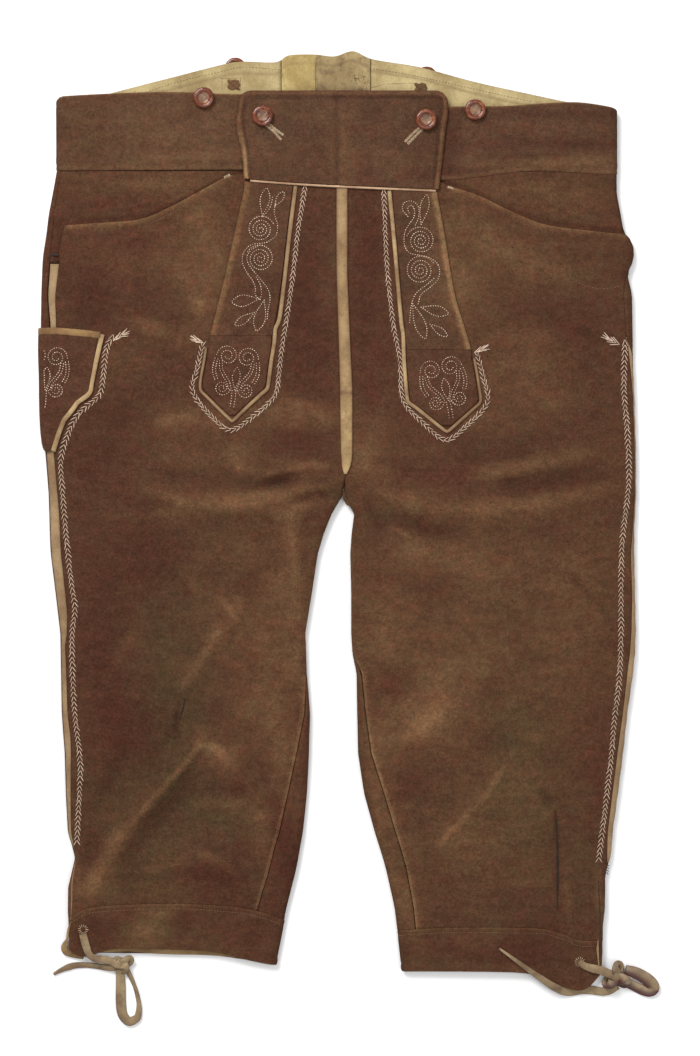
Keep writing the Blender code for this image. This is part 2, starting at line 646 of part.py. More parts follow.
def back_runs(side, y):
    """Runs of the back leg's columns, from the side seam round the fold and under the leg to the inner seam."""
    wall = section(side, y)
    start = over(leg_rows(side), "y", "back_run", y)
    under = wall.back_run[-1]
    wrap = max(wall.front_run[-1] - inseam_run(side, y, wall), 0.0)
    end = -(under + wrap) + inseam_gap(y) / 2
    lead = max(start + 1.5, 5.0)
    tail = max(wrap, 6.0)
    return spread(
        start, end,
        [0, 1.2, 0.6 * lead, lead, lead + 3, lead + 6.5, lead + 18],
        [0, 1.2, 0.6 * tail, tail, tail + 2.5, tail + 5.5, tail + 9, tail + 22], 2,
    )


def back_leg(side):
    grid = []
    for nominal in PANEL_ROWS:
        row = []
        for i, run in enumerate(back_runs(side, nominal)):
            x = section(side, nominal).point(run)[0]
            bottom = over(CUFF_SEAM[side], "x", "y", x) + SEAM_GAP
            top = over(BACK_WAIST_BOTTOM[side], "x", "y", x) - SEAM_GAP
            y = panel_height(nominal, top, bottom)
            row.append(wall_point(side, y, back_runs(side, y)[i]))
        grid.append(row)
    cloth(f"back_{side}", grid, SUEDE_WALL, "suede")


def side_welt(side, top_y, bottom_y):
    """Cream strip set into the side seam, between the back leg's edge and the front leg's."""
    rows = leg_rows(side)
    heights = [y for y in PANEL_ROWS if bottom_y < y < top_y]
    grid = []
    for y in [top_y, *heights, bottom_y]:
        start = over(rows, "y", "back_run", y) + FOLD_SEAM_GAP
        end = over(rows, "y", "front_run", y) - SEAM_GAP
        grid.append([wall_point(side, y, start + (end - start) * part) for part in (0, 0.33, 0.67, 1)])
    cloth(f"side_welt_{side}", grid, CREAM_WALL, "cream")


def yoke(side):
    """The hip piece that shows between the waistband and the pocket mouth, and runs on under both."""
    sign = sign_of(side)
    grid = []
    for part in (0.0, 0.25, 0.5, 0.75, 1.0):
        row = []
        for across in np.linspace(0, 1, 9):
            foot = over(FRONT_TOP[side], "x", "y", sign * 246) - YOKE_LAP
            outline = over(leg_rows(side), "y", "outer", YOKE_TOP_Y + (foot - YOKE_TOP_Y) * part)
            outer_edge = sign * (outline - YOKE_INSET)
            x = outer_edge + (YOKE_INNER_X[side] - outer_edge) * across
            foot = min(over(FRONT_TOP[side], "x", "y", x), YOKE_MOUTH_Y) - YOKE_LAP
            y = YOKE_TOP_Y + (foot - YOKE_TOP_Y) * part
            row.append((x, y, front_level(x, y) + LEVEL_YOKE))
        grid.append(row)
    cloth(f"yoke_{side}", grid, YOKE_WALL, "suede")


def waist_front(side):
    grid = []
    wall = section(side, WAIST_MIDDLE_Y)
    whole = wall.front_run[-1]
    for part in (0.0, 0.2, 0.6, 1.0):
        row = []
        for run in spread(SEAM_GAP / 2, whole - SEAM_GAP / 2, [0, 1.2, 4.2, 7.6, 15], [0], 8):
            x = wall.point(run)[0]
            top = over(FRONT_WAIST_TOP[side], "x", "y", x)
            bottom = over(FRONT_WAIST_BOTTOM[side], "x", "y", x)
            y = top + (bottom - top) * part
            row.append(wall_point(side, y, run * section(side, y).front_run[-1] / whole, LEVEL_WAIST))
        grid.append(row)
    cloth(f"waistband_front_{side}", grid, WAIST_WALL, "suede")


def waist_back_point(side, x, part):
    top = over(BACK_WAIST_TOP, "x", "y", x)
    y = top + (over(BACK_WAIST_BOTTOM[side], "x", "y", x) - top) * part
    return x, y, back_lift(x, y).item() + BACK_WAIST_WALL / 2


def waist_back(side):
    """The outer back waistband, round the side fold from the front waistband's end to the centre-back gusset, with
    its facing on the inside."""
    wall = section(side, WAIST_MIDDLE_Y)
    out = -(BACK_WAIST_WALL - SUEDE_WALL) / 2
    band, facing = [], []
    for part in WAIST_BACK_PARTS:
        row = []
        for run in (-SEAM_GAP / 2, -1.4, -4.4, -8.0, -12.0):
            x = wall.point(run)[0]
            top = over(BACK_WAIST_TOP, "x", "y", x)
            y = top + (over(BACK_WAIST_BOTTOM[side], "x", "y", x) - top) * part
            row.append(wall_point(side, y, run, out))
        flat = [waist_back_point(side, x, part) for x in WAIST_BACK_X[side]]
        band.append(row + flat)
        facing.append([(x, y - (0.3 if part == 0 else 0.0), z + LEVEL_FACING) for x, y, z in flat[:-1]])
    cloth(f"waistband_back_{side}", band, BACK_WAIST_WALL, "suede")
    cloth(f"facing_{side}", facing, FACING_WALL, "facing")


def gusset(name, side, places):
    """Insert that joins the two back waistbands, seen from the inside."""
    grid = []
    for part in WAIST_BACK_PARTS:
        row = [waist_back_point(side, x, part) for x in places]
        grid.append([(x, y - (0.3 if part == 0 else 0.0), z + LEVEL_FACING) for x, y, z in row])
    cloth(name, grid, FACING_WALL, "gusset")


def flap_band():
    grid = []
    for part in (0.0, 0.05, 0.16, 0.45, 0.75, 1.0):
        row = []
        for across in (0.0, 0.01, 0.025, 0.055, 0.2, 0.4, 0.6, 0.8, 0.945, 0.975, 0.99, 1.0):
            width = 176.0
            from_side = min(across, 1 - across) * width
            reach = max(FLAP_CORNER - from_side, 0.0)
            corner = FLAP_CORNER - (FLAP_CORNER**2 - reach**2) ** 0.5
            rough_y = FLAP_TOP_Y - 82 * part
            left, right = over(FLAP_SIDES, "y", "left", rough_y), over(FLAP_SIDES, "y", "right", rough_y)
            x = left + (right - left) * across
            top = FLAP_TOP_Y - corner
            y = top + (over(FLAP_BOTTOM, "x", "y", x) - top) * part
            row.append((x, y, front_level(x, y) + LEVEL_FLAP))
        grid.append(row)
    cloth("flap_waistband", grid, FLAP_WALL, "suede")


def flap_piping():
    """Thin cream edge along the foot of the flap's waistband."""
    left, right = over(FLAP_SIDES, "y", "left", 285), over(FLAP_SIDES, "y", "right", 279)
    grid = []
    for drop in (EDGE_GAP, FLAP_PIPING_DROP):
        row = []
        for x in np.linspace(left + 5, right - 1.5, 12):
            y = over(FLAP_BOTTOM, "x", "y", x) - drop
            row.append((x, y, front_level(x, y) + LEVEL_FLAP - 0.2))
        grid.append(row)
    cloth("flap_piping", grid, CREAM_WALL, "cream")


def placket_strip(side):
    sign = sign_of(side)
    rows = STRIPS[side]
    foot = rows[-1].y
    grid = []
    for down in np.linspace(0, 1, 8):
        row = []
        for part in (0.0, 0.3, 0.7, 1.0):
            head_x = rows[0].outer + (rows[0].inner - rows[0].outer) * part
            head = over(FLAP_BOTTOM, "x", "y", head_x) - FLAP_PIPING_DROP - EDGE_GAP
            y = head + (foot - head) * down
            outer = over(rows, "y", "outer", y)
            inner = over(rows, "y", "inner", y) + sign * (PIPING_WIDTH / 2 + EDGE_GAP)
            x = outer + (inner - outer) * part
            row.append((x, y, front_level(x, y) + LEVEL_STRIP))
        grid.append(row)
    cloth(f"placket_{side}", grid, STRIP_WALL, "strip")


def tongue(side):
    """The pointed tongue: rows between the piping's inner side and its outer side, down to the point."""
    sign = sign_of(side)
    line = TONGUE[side]
    tip = min(range(len(line)), key=lambda i: line[i].y)
    inner, outer = line[: tip + 1], line[tip:]
    inset = PIPING_WIDTH / 2 + EDGE_GAP
    top = STRIPS[side][-1].y - EDGE_GAP
    grid = []
    for y in [top, top - 12, top - 24, inner[2].y, inner[4].y, inner[5].y, line[tip].y + inset * 2.2]:
        slant = 1.42 if y < inner[3].y else 1.0
        from_x = over(inner, "y", "x", y) + sign * inset * slant
        to_x = over(outer, "y", "x", y) - sign * inset * slant
        grid.append([(x, y, front_level(x, y) + LEVEL_STRIP) for x in np.linspace(from_x, to_x, 4)])
    cloth(f"tongue_{side}", grid, STRIP_WALL, "strip")


def strip_profile(name, half_width, height, flat):
    """Section of a strap or bead, in its own plane: half_width to each side, height up."""
    curve = bpy.data.curves.new(name, "CURVE")
    curve.dimensions = "2D"
    spline = curve.splines.new("POLY")
    if flat:
        edge = height / 2
        points = [(-half_width, -edge * 0.4), (-half_width, edge * 0.4), (-half_width + 0.6, edge),
                  (half_width - 0.6, edge), (half_width, edge * 0.4), (half_width, -edge * 0.4),
                  (half_width - 0.6, -edge), (-half_width + 0.6, -edge)]
    else:
        points = [(-half_width, 0), (-half_width * 0.75, height * 0.7), (0, height),
                  (half_width * 0.75, height * 0.7), (half_width, 0)]
    spline.points.add(len(points) - 1)
    for point, (u, v) in zip(spline.points, points):
        point.co = (u * MM, v * MM, 0, 1)
    spline.use_cyclic_u = True
    obj = bpy.data.objects.new(name, curve)
    obj.hide_render = True
    obj.display_type = "WIRE"
    HELPERS.objects.link(obj)
    return obj


def strap(name, route, profile, kind):
    """A strap or bead: the profile carried along a route of points."""
    curve = bpy.data.curves.new(name, "CURVE")
    curve.dimensions = "3D"
    curve.twist_mode = "Z_UP"
    curve.bevel_mode = "OBJECT"
    curve.bevel_object = profile
    curve.use_fill_caps = True
    spline = curve.splines.new("POLY")
    spline.points.add(len(route) - 1)
    for point, place in zip(spline.points, route):
        point.co = (*[value * MM for value in place], 1)
    curve.materials.append(paint(name, kind))
    obj = bpy.data.objects.new(name, curve)
    GARMENT.objects.link(obj)
    return obj


def along(points, step):
    """A smooth curve through hand-chosen points, sampled about every step."""
    points = np.array(points, float)
    ends = np.concatenate([[2 * points[0] - points[1]], points, [2 * points[-1] - points[-2]]])
    placed = [points[0]]
    for i in range(1, len(ends) - 2):
        a, b, c, d = ends[i - 1 : i + 3]
        count = max(1, round(float(np.linalg.norm(c - b)) / step))
        for t in np.linspace(0, 1, count + 1)[1:]:
            placed.append(
                0.5 * (2 * b + (c - a) * t + (2 * a - 5 * b + 4 * c - d) * t**2 + (3 * b - a - 3 * c + d) * t**3)
            )
    return np.array(placed)


def placket_piping(side, profile):
    """Cream bead down the strip's inner edge and round the tongue."""
    base = SUEDE_WALL / 2 + LAY_GAP
    flat = [(place.x, place.y) for place in PIPING_TOP[side] + TONGUE[side]]
    route = []
    for (x0, y0), (x1, y1) in zip(flat, flat[1:]):
        pieces = max(1, round(np.hypot(x1 - x0, y1 - y0) / 14.0))
        route += [(x0 + (x1 - x0) * k / pieces, y0 + (y1 - y0) * k / pieces) for k in range(pieces)]
    route.append(flat[-1])
    strap(f"piping_{side}", [(x, y, front_level(x, y) + base) for x, y in route], profile, "cream")


def centre_strip():
    grid = []
    for y, half in zip(CENTRE_STRIP_ROWS, CENTRE_STRIP_HALF):
        centre = over(CENTRE, "y", "x", y)
        level = max(front_level(centre - 1.5, y), front_level(centre + 1.5, y)) + LEVEL_CENTRE_STRIP
        grid.append([(centre + half * part, y, level) for part in (-1.0, 0.0, 1.0)])
    cloth("centre_strip", grid, CREAM_WALL, "cream")


def knife_pocket():
    """Narrow pocket for a knife, folded round the right side seam onto the back."""
    grid = []
    for part in (0.0, 0.33, 0.67, 1.0):
        row = []
        for column in KNIFE_POCKET:
            y = POCKET_TOP_Y + (column.foot - POCKET_TOP_Y) * part
            run = column.top_run + (column.foot_run - column.top_run) * part
            row.append(wall_point("right", y, run, LEVEL_POCKET))
        grid.append(row)
    cloth("knife_pocket", grid, POCKET_WALL, "suede")
    grid = []
    for rise in (EDGE_GAP, EDGE_GAP + POCKET_BINDING_HEIGHT):
        y = POCKET_TOP_Y + rise
        grid.append([wall_point("right", y, column.top_run, LEVEL_POCKET) for column in KNIFE_POCKET])
    cloth("knife_pocket_binding", grid, POCKET_WALL, "cream")
    grid = []
    for i, (run, y) in enumerate(POCKET_EDGE):
        before, after = POCKET_EDGE[max(i - 1, 0)], POCKET_EDGE[min(i + 1, len(POCKET_EDGE) - 1)]
        d_run, d_y = after[0] - before[0], after[1] - before[1]
        length = np.hypot(d_run, d_y)
        out_run, out_y = -d_y / length, d_run / length
        row = []
        for away in (EDGE_GAP, EDGE_GAP + POCKET_PIPING_WIDTH / 2, EDGE_GAP + POCKET_PIPING_WIDTH):
            row.append(wall_point("right", y + out_y * away, run + out_run * away, LEVEL_POCKET - 0.1))
        grid.append(row)
    cloth("knife_pocket_piping", grid, POCKET_WALL - 0.2, "cream")


def cuff(side):
    """Knee band: one length round the leg, open at the outer side. Its columns are those of the leg above it."""
    seam_row = PANEL_ROWS[-1]
    places = [("front", i) for i in range(len(front_runs(side, seam_row)[0]))]
    places += [("back", i) for i in reversed(range(len(back_runs(side, seam_row)) - 1))]
    grid = []
    for part in (0.0, 0.5, 1.0):
        row = []
        for which, i in places:
            runs = front_runs(side, seam_row)[0] if which == "front" else back_runs(side, seam_row)
            x = section(side, seam_row).point(runs[i])[0]
            on_front = which == "front" or -runs[i] > section(side, seam_row).back_run[-1]
            hem = over(HEM_FRONT[side] if on_front else HEM_BACK[side], "x", "y", x)
            y = over(CUFF_SEAM[side], "x", "y", x) * (1 - part) + hem * part
            runs = front_runs(side, y)[0] if which == "front" else back_runs(side, y)
            x, y, z = wall_point(side, y, runs[i])
            row.append((x, y, max(z, CUFF_WALL / 2)))
        grid.append(row)
    cloth(f"cuff_{side}", grid, CUFF_WALL, "suede")


def button(row):
    """Turned button: a raised rim round a shallow dish."""
    body = bmesh.new()
    profile = [(0.0, 0.0), *BUTTON_RING, (0.0, 2.5)]
    points = [body.verts.new((r * MM, 0.0, z * MM)) for r, z in profile]
    edges = [body.edges.new(pair) for pair in zip(points, points[1:])]
    bmesh.ops.spin(
        body, geom=points + edges, axis=(0, 0, 1), cent=(0, 0, 0), angle=2 * pi, steps=BUTTON_SEGMENTS,
        use_merge=True, use_duplicate=False,
    )
    bmesh.ops.remove_doubles(body, verts=body.verts, dist=1e-6)
    bmesh.ops.recalc_face_normals(body, faces=body.faces)
    mesh = bpy.data.meshes.new(row.name)
    body.to_mesh(mesh)
    body.free()
    obj = finish(row.name, mesh, "button")
    if row.face == "back":
        base = 0.0
    else:
        ring = [radians(45 * k) for k in range(8)]
        under = max(front_level(row.x + BUTTON_RADIUS * cos(a), row.y + BUTTON_RADIUS * sin(a)) for a in ring)
        top = LEVEL_FLAP + FLAP_WALL / 2 if row.face == "flap" else LEVEL_WAIST + WAIST_WALL / 2
        base = under + top + LAY_GAP
    obj.location = (row.x * MM, row.y * MM, base * MM)


def button_patch(name, x, y):
    grid = []
    for dy in (PATCH_HEIGHT / 2, 0.0, -PATCH_HEIGHT / 2):
        row = []
        for dx in (-PATCH_WIDTH / 2, 0.0, PATCH_WIDTH / 2):
            facing_top = back_lift(x + dx, y + dy).item() + BACK_WAIST_WALL + LAY_GAP + FACING_WALL
            row.append((x + dx, y + dy, facing_top + LAY_GAP + 0.5))
        grid.append(row)
    cloth(name, grid, 1.0, "suede")


def knot(row):
    body = bmesh.new()
    bmesh.ops.create_uvsphere(body, u_segments=14, v_segments=8, radius=1.0)
    bmesh.ops.scale(body, vec=(row.rx * MM, row.ry * MM, row.rz * MM), verts=body.verts)
    mesh = bpy.data.meshes.new(row.name)
    body.to_mesh(mesh)
    body.free()
    finish(row.name, mesh, "lace").location = (row.x * MM, row.y * MM, row.z * MM)


clear_scene()
GARMENT = collection("lederhosen")
HELPERS = collection("profiles")
HELPERS.hide_render = True

for side in ("right", "left"):
    front_leg(side)
    back_leg(side)
    yoke(side)
    waist_front(side)
    waist_back(side)
    placket_strip(side)
    tongue(side)
    cuff(side)
side_welt("right", 215.0, -279.0)
side_welt("left", 138.0, -279.0)
gusset("gusset_right", "right", GUSSET_X["right"])
gusset("gusset_left", "left", GUSSET_X["left"])
flap_band()
flap_piping()
centre_strip()
knife_pocket()
bead = strip_profile("bead_profile", PIPING_WIDTH / 2, PIPING_HEIGHT, flat=False)
flat_strap = strip_profile("strap_profile", LACE_WIDTH / 2, LACE_THICKNESS, flat=True)
for side in ("right", "left"):
    placket_piping(side, bead)
for row in BUTTONS:
    button(row)
for name, (x, y) in PATCHES.items():
    button_patch(name, x, y)
for name, stops in LACES.items():
    strap(name, along(stops, 4.5), flat_strap, "lace")
for row in KNOTS:
    knot(row)
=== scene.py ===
from collections import namedtuple
from math import cos, pi, radians, sin

import bmesh
import bpy
import numpy as np
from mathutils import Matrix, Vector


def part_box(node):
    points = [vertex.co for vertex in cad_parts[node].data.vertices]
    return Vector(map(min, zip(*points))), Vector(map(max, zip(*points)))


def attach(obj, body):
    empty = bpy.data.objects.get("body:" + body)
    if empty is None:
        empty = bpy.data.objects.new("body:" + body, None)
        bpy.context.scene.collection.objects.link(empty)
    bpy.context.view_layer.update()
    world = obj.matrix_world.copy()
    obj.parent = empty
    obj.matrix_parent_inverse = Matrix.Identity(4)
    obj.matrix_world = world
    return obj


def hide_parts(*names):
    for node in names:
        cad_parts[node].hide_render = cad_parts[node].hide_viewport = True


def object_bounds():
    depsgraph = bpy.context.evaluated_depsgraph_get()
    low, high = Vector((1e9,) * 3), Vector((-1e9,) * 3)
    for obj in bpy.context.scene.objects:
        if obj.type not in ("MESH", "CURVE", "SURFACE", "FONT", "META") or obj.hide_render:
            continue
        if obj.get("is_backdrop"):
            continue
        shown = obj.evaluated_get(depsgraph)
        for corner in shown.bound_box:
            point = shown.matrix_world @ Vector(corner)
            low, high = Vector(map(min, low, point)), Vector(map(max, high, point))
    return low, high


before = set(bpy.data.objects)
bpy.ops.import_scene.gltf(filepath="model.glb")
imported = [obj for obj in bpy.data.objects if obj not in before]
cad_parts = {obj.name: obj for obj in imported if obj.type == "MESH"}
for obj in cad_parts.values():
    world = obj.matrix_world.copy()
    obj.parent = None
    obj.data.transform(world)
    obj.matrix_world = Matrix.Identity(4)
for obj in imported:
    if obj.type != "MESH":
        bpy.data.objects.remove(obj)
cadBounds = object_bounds()
mm = 0.001
root = "root"
sides = ("right", "left")
scene = bpy.context.scene
print("frame loaded:", len(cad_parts), "nodes")


def link(obj):
    scene.collection.objects.link(obj)
    return obj


view = {"height": 2.4, "plane": 0.01, "centreX": 0.0102, "centreY": -0.0063, "tall": 0.8976, "sensor": 36}
camData = bpy.data.cameras.new("camera")
camData.sensor_fit = "VERTICAL"
camData.sensor_height = view["sensor"]
camData.lens = (view["height"] - view["plane"]) * view["sensor"] / view["tall"]
camData.clip_end = 20
cam = link(bpy.data.objects.new("camera", camData))
cam.location = (view["centreX"], view["centreY"], view["height"])
scene.camera = cam

lights = [  # name, place, size, watts
    ("keyLight", (-0.9, 1.5, 1.9), 1, 56),
    ("fillLight", (1.3, -0.5, 2.2), 1.8, 16),
    ("topLight", (0, 0.1, 2.6), 1, 10),
]
for name, place, size, watts in lights:
    lamp = bpy.data.lights.new(name, "AREA")
    lamp.size, lamp.energy = size, watts
    obj = link(bpy.data.objects.new(name, lamp))
    obj.location = place
    obj.rotation_euler = (-obj.location).normalized().to_track_quat("-Z", "Y").to_euler()  # towards the middle

world = bpy.data.worlds.new("studio")
world.use_nodes = True
glow = world.node_tree.nodes["Background"].inputs
glow["Color"].default_value, glow["Strength"].default_value = (1, 1, 1, 1), 0.48
scene.world = world
scene.view_settings.view_transform = "Standard"

floorMat = bpy.data.materials.new("floorPaint")
floorMat.use_nodes = True
floorLook = floorMat.node_tree.nodes["Principled BSDF"].inputs
floorLook["Base Color"].default_value, floorLook["Roughness"].default_value = (0.95, 0.95, 0.95, 1), 0.9
floorBm = bmesh.new()
bmesh.ops.create_grid(floorBm, x_segments=1, y_segments=1, size=3)
bmesh.ops.translate(floorBm, verts=floorBm.verts, vec=(0, 0, -0.0002))
floorMesh = bpy.data.meshes.new("floor")
floorBm.to_mesh(floorMesh)
floorBm.free()
floorMesh.materials.append(floorMat)
floor = link(bpy.data.objects.new("floor", floorMesh))
floor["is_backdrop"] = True
print("camera, light and floor done")

# sizes, in millimetres
walls = {
    "suede": 1.8, "yoke": 1.6, "waist": 2.2, "backWaist": 2, "facing": 1.2, "flap": 2.2, "strip": 1.4,
    "cream": 1.2, "pocket": 1.6, "cuff": 2.2,
}
seamGap = 0.5
edgeGap = 0.7
layGap = 0.5
pocketGap = 0.7
foldSeamGap = 1.1
crotchY = 22
crotchBlend = 16
buttonLift = 5.2
pocketLift = pocketGap + walls["pocket"]
puffReach = 70
half = walls["suede"] / 2
level = {  # middle of each layer above the middle of the front leather
    "yoke": -2.3,
    "waist": 0.3,
    "strip": half + layGap + walls["strip"] / 2,
    "centre": half + layGap + walls["cream"] / 2,
    "flap": 0.3 + walls["waist"] / 2 + layGap + walls["flap"] / 2,
    "facing": walls["backWaist"] / 2 + layGap + walls["facing"] / 2,
    "pocket": half + pocketGap + walls["pocket"] / 2,
}


def rowsOf(kind, rows):
    return [kind(*row) for row in rows]


Body = namedtuple("Body", "y loft puff")
body = rowsOf(Body, [
    (400, 10.4, 0), (345, 10.4, 0), (320, 9.6, 0), (298, 9, 0), (260, 8.6, 0.8), (215, 8.2, 1.6), (160, 8, 2),
    (90, 8, 3), (0, 8, 4), (-100, 8, 4.5), (-200, 7.6, 4.5), (-280, 7, 3.6), (-330, 6, 1.8), (-405, 5, 0.8),
])

# outline of each leg, where the side seam's two edges lie along the wall from the outer fold, and the inseam
Leg = namedtuple("Leg", "y outer backRun frontRun inner inseam", defaults=(None, 0))
legs = {
    "right": rowsOf(Leg, [
        (364, 239.6, 0.2, 0.2), (298, 239.4, 5.4, 17.2), (278, 243, 6, 17.4), (260, 246.5, 6.2, 17.6),
        (250, 247.6, 6.9, 17.4), (243, 248.5, 7.1, 15.6), (227, 251, 7.8, 15.2), (218, 251.8, 7.6, 16.6),
        (192, 252.8, 6.8, 14.4), (158, 253, 8.6, 14.6), (107, 252.5, 8, 14), (74, 251, 5, 11.5), (56, 249, 1, 8.6),
        (22, 246.5, 1, 10), (6, 246, 1, 10.8, 5.1), (-11, 245.6, 1, 11.1, 11.9), (-28, 244.8, 1, 11.1, 17),
        (-62, 240.6, 1, 10.6, 22.1), (-79, 238.6, 1, 10.3, 24.9), (-96, 236.6, 1, 8, 27.6),
        (-106, 236.4, 1, 6.2, 27.2), (-130, 236, 1, 6.9, 26.4), (-164, 235.4, 1, 7.2, 23.8, 3.6),
        (-184, 234, 1, 8.3, 24.3, 7.2), (-198, 232.9, 1, 7.6, 24.7, 9.6), (-232, 232, 1, 6.3, 26.4, 15.2),
        (-266, 230.2, 1, 4.8, 29.8, 19.4), (-277, 226.6, 0.8, 3.4, 31.8, 21), (-288, 224.6, -0.3, 0.8, 33.6, 21.8),
        (-300, 227.6, -0.3, 0.6, 36, 22.4), (-312, 230.9, -0.3, 0.6, 39, 23.2), (-330, 231.2, -0.3, 0.6, 43.5, 24),
        (-368, 230.2, -0.3, 0.6, 50.5, 24), (-405, 230.2, -0.3, 0.6, 55, 24),
    ]),
    "left": rowsOf(Leg, [
        (364, 237.2, 0.2, 0.2), (298, 237.2, 2.3, 3), (278, 237.4, 2.4, 3.4), (260, 240.8, 2.6, 3.4),
        (245, 243.4, 2.6, 3.2), (240, 248.4, -1.5, -0.9), (233, 251.6, -1.5, -0.9), (226, 252, -1.5, -0.9),
        (219, 250.6, -1.2, -0.6), (212, 247.4, 0.4, 1), (205, 246.8, 4, 4.6), (200, 249, 6.4, 7),
        (192, 250.4, 8.6, 9.2), (158, 251, 7.4, 7.8), (140, 251.2, 0.6, 5.4), (107, 252.6, -1, 3.4),
        (56, 254.2, -1, 3.2), (22, 254.2, -1, 3.2), (6, 253.3, -1, 3.2, 13.6), (-11, 252.6, -1, 3.8, 11.4),
        (-28, 252.6, -1, 5.5, 10.2), (-62, 253.3, -1, 5, 11), (-96, 254, -1, 6.4, 11), (-113, 253.3, -1, 7, 12),
        (-130, 251.6, -1, 7.4, 15.8, 3.4), (-164, 246.8, -1, 6.4, 16.2, 6.4), (-198, 243.1, -1, 7.2, 17, 10.4),
        (-232, 238.9, -1, 7.2, 22.1, 16.2), (-266, 234.2, -1, 6.5, 31.4, 17), (-281, 233.4, -1, 6, 36.2, 17),
        (-294, 230.4, -0.5, 2.8, 40, 16.9), (-302, 228, -0.5, 0.8, 42, 16.4), (-330, 228.4, -0.3, 0.6, 48.2, 15.4),
        (-345, 226.6, -0.3, 0.6, 50, 15), (-368, 226.6, -0.3, 0.6, 52.6, 14.5), (-405, 224, -0.3, 0.6, 56.5, 14.5),
    ]),
}
Centre = namedtuple("Centre", "y x")
centreLine = rowsOf(Centre, [(400, 3.4), (210, 3.4), (112, 7), (51, 7.4), (36, 6), (22, 4.5)])
kneeSlitY = {"right": -280, "left": -296}
kneeSlitBlend = 36

